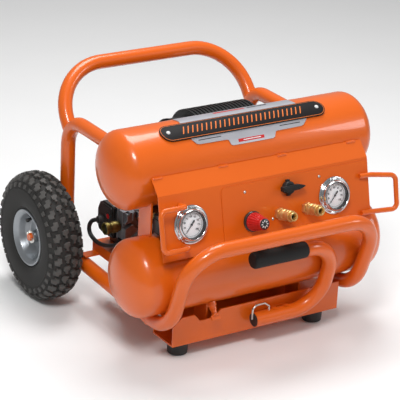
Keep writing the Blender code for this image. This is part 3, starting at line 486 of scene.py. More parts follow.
SECTION_MIDDLE = 0.0895
SECTION_R = 0.0388
SECTION_HALF = 0.038


def squared(c, s):
    """How far a squared-off circle lies from its centre, in the direction (c, s)."""
    power = 2.6
    return (abs(c) ** power + abs(s) ** power) ** (-1 / power)


def carcass_profile():
    """Outer section of the tyre, from one bead to the other."""
    points = [(0.0552, -0.0205), (0.056, -0.0275)]
    for index in range(33):
        turn = math.radians(-128 + 8 * index)
        c, s = math.cos(turn), math.sin(turn)
        size = squared(c, s)
        points.append((SECTION_MIDDLE + SECTION_R * c * size, SECTION_HALF * s * size))
    return points + [(0.056, 0.0275), (0.0552, 0.0205)]


def on_tyre(turn, across, lift):
    """Point on the tread: turn about the wheel, angle across the section, height above it."""
    c, s = math.cos(across), math.sin(across)
    size = squared(c, s)
    radius = SECTION_MIDDLE + (SECTION_R * size + lift) * c
    width = (SECTION_HALF * size + lift * 0.6) * s
    return Vector((radius * math.cos(turn), radius * math.sin(turn), width))


def lug(turn, outline, base, lift):
    """Tread block: outline of (turn, across) in degrees."""
    rings = []
    verts = []
    centre = [sum(p[i] for p in outline) / len(outline) for i in (0, 1)]
    for grow, height in ((0.94, -base), (0.88, lift * 0.85), (0.78, lift)):
        ring = []
        for a, b in outline:
            a = centre[0] + (a - centre[0]) * grow
            b = centre[1] + (b - centre[1]) * grow
            ring.append(len(verts))
            verts.append(on_tyre(math.radians(turn + a), math.radians(b), height))
        rings.append(ring)
    faces = [face for low, high in zip(rings, rings[1:]) for face in strip(low, high)]
    return verts, faces + [rings[-1], rings[0][::-1]]


def tyre(name, side):
    place = along_x(*AXLE, side * WHEEL_X)
    shape = Shape().add(spin(carcass_profile(), 120))
    count = 32
    pitch = 360 / count
    # Tread blocks take the lighter finish (mark 1): painted highlight.
    for index in range(count):
        at = index * pitch
        for hand in (-1, 1):
            step = 0.5 * pitch if hand > 0 else 0.0
            centre = [
                (-4.4, 2), (-0.8, 2), (0.4, 8), (4.2, 8), (4.2, 15), (1.4, 16), (0.6, 22), (-3.0, 22),
                (-4.4, 13),
            ]
            shape.add(lug(at + step, [(a, hand * b) for a, b in centre], 0.001, 0.0054), mark=1)
            shoulder = [
                (-4.2, 27), (0.6, 25), (1.6, 31), (4.4, 32), (4.0, 48), (-1.0, 50), (-1.6, 41), (-4.6, 40),
            ]
            shape.add(lug(at + step + 3.0, [(a, hand * b) for a, b in shoulder], 0.001, 0.0052), mark=1)
            edge = [(-2.6, 55), (2.8, 53), (2.4, 66), (-2.0, 67)]
            shape.add(lug(at + step - 2.2, [(a, hand * b) for a, b in edge], 0.001, 0.004), mark=1)
    for hand in (-1, 1):
        for radius, size in ((0.0655, 0.0009), (0.1, 0.0008)):
            shape.add(raised_ring(radius, size, hand))
    shape.make(name, [TYRE, TREAD_HIGHLIGHT], f"{name[5:]}_wheel", place=place, angle=30)


def raised_ring(radius, size, hand):
    """Thin rib round the sidewall."""
    profile = carcass_profile()
    near = min((p for p in profile if p[1] * hand > 0), key=lambda p: abs(p[0] - radius))
    ring = [(near[0] - 2 * size, near[1]), (near[0], near[1] + hand * size), (near[0] + 2 * size, near[1])]
    return spin(ring + [(near[0], near[1] - hand * size)], 120, closed=True)


def rim(name, side):
    """Deep-dished pressed rim with a hub tube."""
    well = 0.0465
    dish = [(0.038, 0.003), (0.044, 0.013), (0.0475, 0.026), (0.052, 0.03), (0.0565, 0.0335)]
    edge = [(0.0592, 0.033), (0.0595, 0.03), (0.056, 0.027), (well + 0.004, 0.018), (well, 0.012)]
    face = [(0.0088, 0.02), (0.013, 0.02), (0.0132, 0.002), (0.02, 0.001)] + dish + edge
    face += [(radius, -height) for radius, height in edge[::-1] + dish[:0:-1]]
    face += [(0.038, -0.001), (0.0132, -0.002), (0.013, -0.02), (0.0088, -0.02)]
    face = [(radius, side * height) for radius, height in face]
    shape = Shape().add(spin(soft(face, 0.002), 96, closed=True))
    shape.make(name, RIM, f"{name[4:]}_wheel", slot="rim_steel", place=along_x(*AXLE, side * WHEEL_X))


# ---------------- front of the frame


def foot(side, x):
    """Turned rubber foot with a lip and a bolt recess."""
    profile = [
        (0, 0.008), (0.0088, 0.008), (0.0094, 0.0), (0.0185, 0.0), (0.02, 0.0016), (0.0196, 0.0045),
        (0.0204, 0.006), (0.0209, 0.024), (0.0205, 0.0318), (0.0185, 0.0323), (0, 0.0323),
    ]
    place = Matrix.Translation((x, -0.18, 0))
    Shape().add(spin(soft(profile, 0.0012), 48)).make(f"foot_{side}", RUBBER, place=place)
    head = [(0, 0.0042), (0.0058, 0.0042), (0.0062, 0.0036), (0.0062, 0.0), (0, 0.0)]
    Shape().add(spin(head, 6)).make(f"foot_bolt_{side}", ZINC, place=Matrix.Translation((x, -0.18, 0.0353)))


def lift_handle():
    """Folding handle: wide tube, thinner rod under the foam, clamps and a wire pin."""
    low = Vector((0, *LIFT_LOW))
    high = Vector((0, *LIFT_HIGH))
    along = Vector((1, 0, 0))
    corners = [low - along * 0.02, low + along * 0.134, high + along * 0.134, high + along * 0.06]
    path = rounded_path(corners, [0.068] * 2, math.radians(4))
    shape = Shape().add(sweep(path, [0.0146] + [0.015] * (len(path) - 2) + [0.0144], 40))
    shape.make("lift_handle", PAINT, "folding_handle")
    plug = [(0, 0.0006), (0.0105, 0.0008), (0.0128, 0.0016), (0.0135, 0.0012), (0.0136, -0.002), (0, -0.002)]
    turned = turned_at((-0.02, *LIFT_LOW), -90, "Y")
    Shape().add(spin(plug, 40)).make("lift_plug", RUBBER, "folding_handle", place=turned)
    grip = [
        (0, -0.0652), (0.011, -0.0652), (0.0146, -0.064), (0.0162, -0.0612), (0.0165, -0.057), (0.0163, 0.0),
        (0.0165, 0.0545), (0.0161, 0.0578), (0.015, 0.059), (0.0112, 0.059), (0.011, -0.0602), (0, -0.0603),
    ]
    foam = Shape().add(spin(grip, 64))
    foam = foam.make("foam_grip", FOAM, "folding_handle", place=along_x(*LIFT_HIGH))
    clamp = Shape()
    for x in (0.028, 0.058):
        band = []
        for size in (0.0154, 0.0164):
            turns = [math.radians(-108 + 9 * index) for index in range(25)]
            line = [(LIFT_LOW[0] + size * math.cos(t), LIFT_LOW[1] + size * math.sin(t)) for t in turns]
            band += line if size < 0.016 else line[::-1]
        clamp.add(slab(band, x - 0.0058, x + 0.0058), YZ_ALONG_X)
    clamp.add(block((0.0205, -0.218, 0.049), (0.0655, -0.2165, 0.073)))
    clamp.make("lift_bracket", PAINT)
    y, z = LIFT_LOW
    wire = [
        (-0.024, y, z + 0.002), (-0.024, y, z + 0.024), (-0.016, y, z + 0.031), (0.004, y, z + 0.031),
        (0.015, y, z + 0.023), (0.015, y, z + 0.004),
    ]
    wire = rounded_path(wire, [0.004] * 4, math.radians(10))
    Shape().add(sweep(wire, 0.0021, 20)).make("lock_pin", ZINC, "snap_pin")


def cord_hooks():
    right = [
        (0.218, 0.028, 0.0055), (0.243, 0.028, 0.011), (0.292, 0.021, 0.025), (0.292, -0.048, 0.024),
        (0.243, -0.047, 0.009), (0.218, -0.047, 0.0055),
    ]
    left = [
        (-0.198, 0.04, 0.001), (-0.198, 0.04, 0.024), (-0.254, 0.04, 0.024), (-0.254, -0.04, 0.024),
        (-0.198, -0.04, 0.024), (-0.198, -0.04, 0.001),
    ]
    for side, corners, radii in (
        ("left", left, [0.008, 0.012, 0.012, 0.008]), ("right", right, [0.01, 0.012, 0.012, 0.01]),
    ):
        path = rounded_path(corners, radii, math.radians(10))
        Shape().add(sweep(path, 0.005, 24)).make(f"cord_hook_{side}", PAINT, place=FACE)


# ---------------- control panel

SEGMENTS = {
    "a": (0, 1, 1, 1), "b": (1, 1, 1, 0.5), "c": (1, 0.5, 1, 0), "d": (0, 0, 1, 0),
    "e": (0, 0.5, 0, 0), "f": (0, 1, 0, 0.5), "g": (0, 0.5, 1, 0.5),
}
FIGURES = {"0": "abcdef", "1": "bc", "2": "abged", "5": "afgcd", "7": "abc"}


def figures(text, u, v, height, low, high):
    """Plain figures made of straight strokes, centred on (u, v)."""
    wide, thick = height * 0.5, height * 0.1
    step = wide * 1.55
    shapes = []
    for index, letter in enumerate(text):
        left = u + (index - (len(text) - 1) / 2) * step - wide / 2
        for stroke in FIGURES[letter]:
            x0, y0, x1, y1 = SEGMENTS[stroke]
            a, b = sorted((left + x0 * wide, left + x1 * wide))
            c, d = sorted((v - height / 2 + y0 * height, v - height / 2 + y1 * height))
            shapes.append(block((a - thick, c - thick, low), (b + thick, d + thick, high)))
    return shapes


def gauge(side, place, base):
    """Flanged gauge with a chrome case, black ring, printed dial, needle and lens."""
    spot = on_face(*place, base)
    case = [
        (0, -0.034), (0.006, -0.034), (0.006, -0.022), (0.0268, -0.022), (0.0268, 0), (0.0368, 0),
        (0.0375, 0.0007), (0.0374, 0.0019), (0.0366, 0.0027), (0.0352, 0.0029), (0.034, 0.0024),
        (0.0318, 0.002), (0.0308, 0.003), (0.0306, 0.0085), (0.0302, 0.0108), (0.0292, 0.0122),
        (0.0278, 0.0125), (0.0272, 0.0122), (0.0265, 0.0112), (0.0263, 0.0012), (0, 0.0012),
    ]
    shape = Shape().add(spin(case, 96))
    for index in range(3):
        turn = math.radians(100 + 120 * index)
        shape.add(
            screw(0.0032, 0.002),
            Matrix.Translation((0.0336 * math.cos(turn), 0.0336 * math.sin(turn), 0.0022)),
        )
    name = f"gauge_{side}_case"
    shape.make(name, CHROME, place=spot)
    ring = [(0.0262, 0.0118), (0.0255, 0.01), (0.0253, 0.0026), (0.0262, 0.002)]
    Shape().add(spin(ring, 96, closed=True)).make(f"gauge_{side}_ring", ENAMEL, place=spot)
    dial = Shape().add(spin([(0, 0.0013), (0.0255, 0.0013), (0.0255, 0.0023), (0, 0.0023)], 72))
    for index in range(41):
        turn = math.radians(228 - 270 * index / 40)
        long = index % 10 == 0
        inner, half = (0.0186, 0.00042) if long else (0.0212 if index % 5 else 0.0198, 0.0002)
        outline = [(inner, -half), (0.0226, -half), (0.0226, half), (inner, half)]
        dial.add(slab(outline, 0.00225, 0.0025), Matrix.Rotation(turn, 4, "Z"), 1)
        if index % 5 == 0:
            text = str(5 * index)
            for part in figures(
                text, 0.0156 * math.cos(turn), 0.0156 * math.sin(turn), 0.0028, 0.00225, 0.0025,
            ):
                dial.add(part, mark=1)
    arc = [(0.0226, 0.00225), (0.023, 0.00225), (0.023, 0.0025), (0.0226, 0.0025)]
    dial.add(spin(arc, 72, closed=True), mark=1)
    name = f"gauge_{side}_dial"
    dial.make(name, [DIAL, INK], place=spot)
    needle = [
        (0.0192, -0.00025), (0.0192, 0.00025), (0.002, 0.0009), (-0.003, 0.0009), (-0.004, 0.0017),
        (-0.01, 0.0015), (-0.01, -0.0015), (-0.004, -0.0017), (-0.003, -0.0009), (0.002, -0.0009),
    ]
    shape = Shape().add(slab(needle, 0.0032, 0.0039), Matrix.Rotation(math.radians(228), 4, "Z"))
    shape.add(spin([(0, 0.0026), (0.0021, 0.0026), (0.0023, 0.0042), (0.0015, 0.0047), (0, 0.0047)], 32))
    name = f"gauge_{side}_needle"
    shape.make(name, INK, f"{side}_needle", slot="black_enamel", place=spot)
    lens = [(0, 0.0085), (0.0254, 0.0085), (0.0254, 0.0093), (0.016, 0.0099), (0, 0.0102)]
    name = f"gauge_{side}_lens"
    Shape().add(spin(soft(lens, 0.0004), 72)).make(name, GLASS, place=spot)


def fluted(profile, count, segments=240):
    """Turned shape whose (radius, height, depth) rings carry count grooves."""
    verts, rings = [], []
    for radius, height, depth in profile:
        rings.append(list(range(len(verts), len(verts) + segments)))
        for index in range(segments):
            turn = math.tau * index / segments
            wave = max(0.0, math.cos(count * turn)) ** 0.5
            size = radius - depth * (1 - wave)
            verts.append((size * math.cos(turn), size * math.sin(turn), height))
    faces = [face for low, high in zip(rings, rings[1:]) for face in strip(low, high)]
    return verts, faces + strip(rings[-1], rings[0])


def regulator():
    spot = on_face(-0.04, -0.018, COVER)
    barrel = [(0, -0.0318), (0.0138, -0.0318), (0.014, -0.006), (0.0113, -0.0058), (0.0113, 0)]
    shape = Shape().add(spin(barrel + [(0, 0)], 48))
    shape.add(
        spin(
            [
                (0, 0), (0.02, 0), (0.0203, 0.004), (0.019, 0.0058), (0.0168, 0.006), (0.0055, 0.006),
                (0.0055, 0.04), (0, 0.04),
            ],
            64,
        ),
        mark=1,
    )
    shape.add(block((0.012, -0.008, -0.0338), (0.145, 0.015, -0.0116)))
    shape.make("regulator_body", [BRASS, ENAMEL], place=spot)
    knob = [
        (0.0058, 0.0063, 0), (0.0172, 0.0063, 0), (0.018, 0.0072, 0.0), (0.018, 0.0085, 0.001),
        (0.0178, 0.012, 0.0013), (0.0146, 0.026, 0.0012), (0.0136, 0.0292, 0.0006), (0.0128, 0.0302, 0),
        (0.0127, 0.034, 0.0007), (0.0126, 0.0405, 0.0007), (0.0122, 0.0422, 0.0002), (0.0112, 0.043, 0),
        (0.0098, 0.043, 0), (0.0096, 0.0414, 0), (0.0058, 0.0412, 0),
    ]
    shape = Shape().add(fluted(knob, 20))
    shape.add(
        spin([(0, 0.0404), (0.0108, 0.0404), (0.0108, 0.043), (0.01, 0.0436), (0, 0.0436)], 48), mark=1,
    )
    for index in range(8):
        turn = math.tau * index / 8
        dash = [(0.0042, -0.001), (0.0078, -0.001), (0.0078, 0.001), (0.0042, 0.001)]
        shape.add(slab(dash, 0.0434, 0.0438), Matrix.Rotation(turn, 4, "Z"), 2)
    shape.make("regulator_knob", [RED, ENAMEL, PALE], "regulator_cap", place=spot)


def coupler(side, place):
    """Quick coupler: hexagonal base, neck and socket ring, with a sliding sleeve."""
    spot = on_face(*place, COVER)
    shape = Shape().add(spin([(0, -0.0113), (0.0086, -0.0113), (0.0086, 0), (0, 0)], 40))
    shape.add(
        spin([(0, 0), (0.0116, 0), (0.0124, 0.001), (0.0124, 0.0088), (0.0114, 0.01), (0, 0.01)], 6),
        Matrix.Rotation(0.3, 4, "Z"),
    )
    neck = [
        (0.0104, 0.0095), (0.0104, 0.0106), (0.0076, 0.0112), (0.0075, 0.045), (0.0084, 0.0456),
        (0.0089, 0.0464), (0.0089, 0.0506), (0.0082, 0.052), (0.0064, 0.052), (0.0058, 0.0512),
        (0.0058, 0.014), (0.005, 0.012),
    ]
    shape.add(spin(neck, 64, closed=True))
    # Near-black plug down the socket (mark 1): painted shade of the bore.
    shape.add(
        spin([(0, 0.012), (0.0057, 0.012), (0.0057, 0.04), (0.005, 0.041), (0.0048, 0.033), (0, 0.033)], 40),
        mark=1,
    )
    name = f"coupler_{side}_body"
    shape.make(name, [BRASS, BORE_SHADE], place=spot)
    sleeve = [
        (0.0078, 0.0165), (0.0108, 0.0165), (0.0114, 0.0172), (0.0114, 0.0196), (0.0108, 0.0204),
        (0.0116, 0.0214), (0.0116, 0.0238), (0.0108, 0.0248), (0.0103, 0.0262), (0.0101, 0.03),
        (0.0104, 0.0318), (0.0112, 0.033), (0.0113, 0.035), (0.0107, 0.0358), (0.0107, 0.0372),
        (0.0113, 0.0382), (0.0113, 0.0424), (0.0106, 0.0438),
    ]
    name = f"coupler_{side}_sleeve"
    sleeve = Shape().add(spin(sleeve + [(0.0078, 0.0438)], 72, closed=True))
    sleeve.make(name, BRASS, f"{side}_sleeve", place=spot)


def switch():
    spot = on_face(0.046, 0.034, COVER)
    profile = [(0, 0), (0.013, 0), (0.013, 0.009), (0.012, 0.011), (0.0098, 0.012), (0, 0.012)]
    shape = Shape().add(spin(soft(profile, 0.0008), 64))
    bar = [
        (-0.0198, -0.0036), (-0.0185, -0.0048), (-0.008, -0.0056), (0.018, -0.0052), (0.03, -0.002),
        (0.0336, 0.0),
    ]
    bar += [(u, -v) for u, v in bar[-2::-1]]
    shape.add(slab(bar, 0.0062, 0.0168))
    ridge = [(u * 0.86, v * 0.6) for u, v in bar]
    shape.add(slab(ridge, 0.016, 0.0179))
    shape.add(block((-0.004, -0.016, 0.0), (0.004, 0.016, 0.006)))
    shape.make("switch_knob", PLASTIC, "switch_cap", place=spot, bevel=0.0006)


def panel_screws():
    shape = Shape()
    for u, v in ((-0.052, 0.041), (0.008, -0.022), (-0.038, -0.05), (0.123, 0.043), (0.141, -0.05)):
        shape.add(screw(0.0031, 0.0022), Matrix.Translation((u, v, 0.0014)))
    shape.make("panel_screws", ZINC, place=FACE)


# ---------------- name plate


PLATE_TILT = 24.5
PLATE_MID_X = -0.009


def patch(rows, low, high):
    """Curved plate over the upper tank from (degrees to the front, left, right) rows."""
    fine = [rows[0]]
    for row, following in zip(rows, rows[1:]):
        count = max(1, math.ceil((following[0] - row[0]) / 2))
        for index in range(1, count + 1):
            fine.append([a + (b - a) * index / count for a, b in zip(row, following)])
    verts = []
    for angle, left, right in fine:
        c, s = math.cos(math.radians(angle)), math.sin(math.radians(angle))
        for size in (low, high):
            for x in (left, right):
                verts.append((x, UPPER[0] - size * s, UPPER[1] + size * c))
    faces = []
    for index in range(len(fine) - 1):
        a = 4 * index
        faces += [[a, a + 4, a + 5, a + 1], [a + 2, a + 3, a + 7, a + 6]]
        faces += [[a, a + 2, a + 6, a + 4], [a + 1, a + 5, a + 7, a + 3]]
    end = len(verts) - 4
    return verts, faces + [[0, 1, 3, 2], [end, end + 2, end + 3, end + 1]]


def stadium(half_angle, half_length, radius):
    """Rows of a plate with round ends, on the upper tank."""
    cap = math.radians(half_angle) * radius
    rows = []
    for index in range(25):
        slope = math.radians(-90 + 7.5 * index)
        reach = half_length - cap + cap * math.cos(slope)
        rows.append((PLATE_TILT + half_angle * math.sin(slope), PLATE_MID_X - reach, PLATE_MID_X + reach))
    return rows


def name_plate():
    """Black plate with a plain stripe pattern, riveted over a silver backing."""
    base = TANK_R + 0.0005
    rows = [
        (-14, -0.138, 0.124), (-13, -0.14, 0.126), (0, -0.138, 0.128), (12, -0.141, 0.13), (30, -0.141, 0.13),
        (41, -0.139, 0.127), (48, -0.132, 0.116), (49.5, -0.126, 0.11), (50, -0.064, 0.052),
        (51, -0.061, 0.048), (58, -0.058, 0.043), (59.5, -0.053, 0.038),
    ]
    shape = Shape().add(patch(rows, base, base + 0.0012))
    top = base + 0.0013
    for x0, x1, a0, a1, mark in (
        (-0.052, 0.02, -9.5, -5.0, 1), (0.026, 0.072, -9.0, -5.5, 2), (-0.125, -0.074, 43.0, 44.2, 2),
        (0.062, 0.11, 43.0, 44.2, 2), (-0.04, 0.02, 52.0, 56.5, 1), (-0.028, 0.012, 53.6, 54.8, 3),
    ):
        lift = 0.00015 if mark == 3 else 0.0
        shape.add(patch([(a0, x0, x1), (a1, x0 - 0.001, x1 - 0.001)], base, top + lift), mark=mark)
    shape.make("name_plate_backing", [SILVER, RED, INK, PALE])
    low = base + 0.0015
    shape = Shape().add(patch(stadium(15.0, 0.189, low + 0.0016), low, low + 0.0016))
    shape.add(patch(stadium(13.6, 0.1872, low + 0.0016), low, low + 0.00172), mark=1)
    shape.add(patch(stadium(12.9, 0.1863, low + 0.0016), low, low + 0.00184), mark=0)
    for index in range(27):
        x = -0.15 + 0.0104 * index
        shape.add(
            patch([(18.0, x + 0.0065, x + 0.009), (31.0, x - 0.003, x - 0.0005)], low, low + 0.002), mark=1,
        )
    for x in (-0.181, 0.163):
        turn = turned_at((x, *UPPER), PLATE_TILT, "X")
        rivet = [(0, 0.003), (0.0018, 0.0028), (0.0034, 0.0018), (0.0042, 0.0), (0, 0.0)]
        shape.add(spin(rivet, 32), turn @ Matrix.Translation((0, 0, low + 0.0016)), 2)
    shape.make("name_plate", [PLATE, STRIPE, PALE], slot="black_enamel")


# ---------------- motor, pump and shroud


def arch(half_y, low, top, crown, steps=24):
    """Arched (y, z) section over the motor, from the front foot round to the rear one."""
    line = [(MOTOR[0] - half_y, low)]
    for index in range(steps + 1):
        turn = math.pi - math.pi * index / steps
        line.append((MOTOR[0] + half_y * math.cos(turn), top - crown + crown * math.sin(turn)))
    return line + [(MOTOR[0] + half_y, low)]


def hood(outer, inner, x0, x1):
    """Shell or end wall between two (y, z) lines of as many points, from x0 to x1."""
    loop = outer + inner[::-1]
    verts = [(x, y, z) for x in (x0, x1) for y, z in loop]
    count = len(loop)
    half = len(outer)
    faces = strip(list(range(count)), list(range(count, 2 * count)))
    for start in (0, count):
        for index in range(half - 1):
            a, b = start + index, start + count - 1 - index
            faces.append([a, a + 1, b - 1, b])
    return verts, faces


def shroud():
    """Ribbed cooling shroud with a plain shoulder over the motor."""
    low = 0.15
    shell = arch(0.0715, low, 0.3935, 0.066)
    shape = Shape().add(hood(shell, arch(0.069, low, 0.391, 0.064), 0.001, 0.145))
    for index in range(17):
        x = 0.0015 + 0.00885 * index
        shape.add(
            hood(arch(0.0742, 0.168, 0.3964, 0.0685), arch(0.0705, 0.168, 0.3925, 0.065), x, x + 0.0042)
        )
    mouth = [(MOTOR[0] - 0.0605, low)]
    for index in range(25):
        turn = math.pi - math.pi * index / 24
        mouth.append((MOTOR[0] + 0.0625 * math.cos(turn), MOTOR[1] + 0.0625 * math.sin(turn)))
    mouth.append((MOTOR[0] + 0.0605, low))
    shape.add(hood(shell, mouth, 0.0, 0.003))
    shape.add(hood(shell, [(MOTOR[0], low + 0.0005)] * len(shell), 0.1435, 0.146))
    outer, inner = arch(0.062, 0.2945, 0.382, 0.055), arch(0.0595, 0.2945, 0.3795, 0.053)
    shape.add(hood(outer, inner, -0.041, 0.0015))
    lip = [(MOTOR[0] + (y - MOTOR[0]) * 1.02, z + 0.001 if z > 0.3 else z) for y, z in outer]
    shape.add(hood(lip, inner, -0.041, -0.0375))
    shape.add(hood(outer, [(MOTOR[0], 0.295)] * len(outer), -0.0405, -0.0385))
    shape.make("pump_shroud", SHROUD, slot="black_plastic", angle=30)


def motor():
    place = along_x(*MOTOR)
    shell = [
        (0.0125, -0.12), (0.03, -0.1205), (0.042, -0.1195), (0.054, -0.112), (0.059, -0.1), (0.06, -0.096),
        (0.06, 0.02), (0.056, 0.028), (0.05, 0.03), (0.0125, 0.03),
    ]
    shape = Shape().add(spin(soft(shell, 0.002), 80, closed=True))
    for index in range(28):
        turn = math.tau * index / 28
        if abs(math.cos(turn)) < 0.35 or math.cos(turn) < 0:
            shape.add(
                block((0.0585, -0.0008, -0.092), (0.0612, 0.0008, 0.016)), Matrix.Rotation(turn, 4, "Z"),
            )
    shape.make("motor_body", ENAMEL, place=place)
    foot = Shape().add(block((-0.085, MOTOR[0] - 0.042, 0.1303), (0.01, MOTOR[0] + 0.042, 0.136)))
    foot.add(block((-0.078, MOTOR[0] - 0.032, 0.135), (0.004, MOTOR[0] + 0.032, 0.182)))
    foot.make("motor_foot", ENAMEL, bevel=0.001)
    fan = [
        (0, -0.124), (0.0095, -0.124), (0.01, -0.1235), (0.01, 0.036), (0.056, 0.036), (0.056, 0.0375),
        (0.015, 0.039), (0.014, 0.0545), (0.012, 0.056), (0, 0.056),
    ]
    shape = Shape().add(spin(fan, 72))
    for index in range(6):
        turn = Matrix.Rotation(math.tau * index / 6, 4, "Z")
        shape.add(block((0.016, -0.0012, 0.037), (0.0555, 0.0012, 0.0555)), turn)
    shape.make("motor_rotor", CASTING, "rotor", place=place)


def pump():
    """Black bell with a reset button, grey finned head and the aged intake fitting."""
    bell = [
        (0.046, 0.158), (0.046, 0.222), (0.05, 0.226), (0.088, 0.226), (0.101, 0.219), (0.108, 0.206),
        (0.108, 0.168), (0.103, 0.158), (0.094, 0.156), (0.052, 0.156),
    ]
    shape = Shape().add(slab(bell, -0.183, -0.125), YZ_ALONG_X)
    inset = [(0.077 + (y - 0.077) * 0.88, 0.191 + (z - 0.191) * 0.88) for y, z in bell]
    shape.add(slab(inset, -0.186, -0.18), YZ_ALONG_X)
    shape.add(block((-0.16, 0.056, 0.1303), (-0.127, 0.098, 0.17)))
    place = turned_at((-0.155, 0, 0.2), 90, "X")
    barrel = [(0, -0.07), (0.022, -0.07)]
    for index in range(5):
        y = -0.046 + 0.0032 * index
        barrel += [(0.0215, y), (0.0258, y + 0.0004), (0.0258, y + 0.0016), (0.0215, y + 0.002)]
    shape.add(spin(barrel + [(0.0215, -0.0301), (0, -0.0301)], 48), place)
    ring = [(0.0062, -0.0004), (0.009, -0.0004), (0.0086, 0.0014), (0.0064, 0.0014)]
    shape.add(spin(ring, 40, closed=True), turned_at((-0.186, 0.063, 0.201), -90, "Y"))
    shape.make("pump_crankcase", ENAMEL, slot="black_casting", bevel=0.0025)
    button = [
        (0, 0.0024), (0.003, 0.0023), (0.005, 0.0012), (0.0055, -0.0005), (0.0055, -0.009), (0, -0.009),
    ]
    spot = turned_at((-0.186, 0.063, 0.201), -90, "Y")
    Shape().add(spin(button, 40)).make("reset_button", RED, "reset_cap", place=spot)
    head = Shape().add(block((-0.1845, 0.008, 0.17), (-0.1255, 0.0296, 0.23)))
    head.add(block((-0.186, 0.024, 0.168), (-0.124, 0.029, 0.232)))
    wedge = [(-0.184, 0.17), (-0.184, 0.196), (-0.166, 0.204), (-0.15, 0.186), (-0.14, 0.17)]
    head.add(slab(wedge, 0.0025, -0.009), XZ_FACING_FRONT)
    ridge = [(-0.184, 0.206), (-0.172, 0.23), (-0.16, 0.23), (-0.168, 0.208)]
    head.add(slab(ridge, 0.001, -0.009), XZ_FACING_FRONT)
    ridge = [(-0.15, 0.194), (-0.138, 0.212), (-0.126, 0.194), (-0.138, 0.176)]
    head.add(slab(ridge, 0.0034, -0.009), XZ_FACING_FRONT, 1)
    for index in range(5):
        x = -0.18 + 0.0125 * index
        head.add(block((x, -0.003, 0.213 if index < 3 else 0.215), (x + 0.0032, 0.01, 0.228)))
    for x, z in ((-0.18, 0.174), (-0.13, 0.174), (-0.13, 0.226)):
        bolt = turned_at((x, 0.0085, z), 90, "X")
        head.add(spin([(0, 0.0075), (0.0034, 0.0075), (0.0036, 0.0068), (0.0036, 0), (0, 0)], 6), bolt, 1)
    head.make("cylinder_head", [CASTING, ZINC], bevel=0.0008)
    base = Shape().add(block((-0.185, -0.001, 0.15), (-0.126, 0.03, 0.1672)))
    for index in range(4):
        x = -0.179 + 0.0075 * index
        base.add(block((x, -0.0016, 0.156), (x + 0.0014, 0.0, 0.1645)), mark=1)
    base.make("head_base", [ENAMEL, PALE], slot="black_casting", bevel=0.0008)
    plug = [
        (0, -0.025), (0.0104, -0.025), (0.0108, -0.0328), (0.0124, -0.033), (0.013, -0.0322),
        (0.013, -0.0246), (0.0118, -0.0232), (0.0113, -0.022), (0.0113, -0.016), (0.0121, -0.015),
        (0.0121, -0.006), (0.0108, -0.0045),
    ]
    shape = Shape().add(spin(plug + [(0.0108, -0.0006), (0, -0.0006)], 12))
    # Near-black disc inside the open end (mark 1): painted shade of the bore.
    shape.add(spin([(0, -0.0262), (0.0103, -0.0262), (0.0103, -0.024), (0, -0.024)], 40), mark=1)
    shape.make("intake_fitting", [OLD_BRASS, BORE_SHADE], slot="brass", place=along_x(0.02, 0.196, -0.186))
    path = [
        (-0.155, -0.0043, 0.215), (-0.155, -0.03, 0.215), (-0.155, -0.109, 0.256), (-0.155, -0.109, 0.305),
    ]
    pipe = Shape().add(sweep(rounded_path(path, [0.015, 0.012], math.radians(8)), 0.0048, 24))
    nut = [(0, 0), (0.008, 0), (0.0084, 0.001), (0.0084, 0.009), (0.0074, 0.01), (0, 0.01)]
    pipe.add(spin(nut, 6), Matrix.Translation((-0.155, -0.109, 0.288)), 1)
    pipe.make("discharge_tube", [COPPER, BRASS])


def motor_lead():
    """Cable from the bell, round in a loop and forward to the pressure switch."""
    route = [
        (-0.188, 0.09, 0.184), (-0.193, 0.092, 0.184), (-0.199, 0.106, 0.176), (-0.1995, 0.115, 0.158),
        (-0.1985, 0.106, 0.143), (-0.198, 0.072, 0.139), (-0.198, 0.018, 0.156), (-0.199, -0.04, 0.19),
        (-0.204, -0.085, 0.225), (-0.208, -0.122, 0.259), (-0.208, -0.146, 0.274), (-0.208, -0.1642, 0.276),
    ]
    route = [Vector(point) for point in route]
    ends = [2 * route[0] - route[1], *route, 2 * route[-1] - route[-2]]
    points = []
    for a, b, c, d in zip(ends, ends[1:], ends[2:], ends[3:]):
        for index in range(8):
            t = index / 8
            bent = (2 * a - 5 * b + 4 * c - d) * t**2 + (3 * b - a - 3 * c + d) * t**3
            points.append(0.5 * (2 * b + (c - a) * t + bent))
    points.append(route[-1])
    shape = Shape().add(sweep(points, 0.0044, 20))
    turn = turned_at((-0.1835, 0.09, 0.184), -90, "Y")
    boot = [(0, 0), (0.011, 0), (0.0114, 0.003), (0.009, 0.0042), (0.008, 0.01), (0.0062, 0.012), (0, 0.012)]
    shape.add(spin(soft(boot, 0.001), 32), turn)
    shape.make("motor_lead", RUBBER)


def pressure_controls():
    shape = Shape().add(block((-0.2215, -0.205, 0.2625), (-0.1845, -0.165, 0.293)))
    shape.add(block((-0.2205, -0.204, 0.292), (-0.1855, -0.166, 0.301)))
    shape.make("pressure_switch", PLASTIC, bevel=0.002)
    turn = turned_at((-0.2165, -0.1655, 0.293), -90, "X")
    nut = [
        (0, 0), (0.0056, 0), (0.006, 0.001), (0.006, 0.007), (0.0048, 0.008), (0.004, 0.0082), (0.004, 0.011),
        (0, 0.011),
    ]
    Shape().add(spin(nut, 6), turn).make("switch_fitting", BRASS)
    low = 0.3013
    valve = [
        (0, 0), (0.0085, 0), (0.0085, 0.007), (0.0076, 0.008), (0.006, 0.009), (0.006, 0.0185), (0.005, 0.02),
    ]
    shape = Shape().add(spin(valve + [(0.0022, 0.02), (0.0022, 0.026), (0, 0.026)], 36))
    place = Matrix.Translation((-0.203, -0.19, low))
    shape.make("safety_valve", BRASS, place=place)
    ring = []
    for index in range(12):
        turn = math.tau * index / 12
        ring.append((0.0045 + 0.0019 * math.cos(turn), 0.0215 + 0.001 * math.sin(turn)))
    shape = Shape().add(spin(ring, 48, closed=True))
    shape.make("safety_ring", ZINC, "valve_ring", place=place)


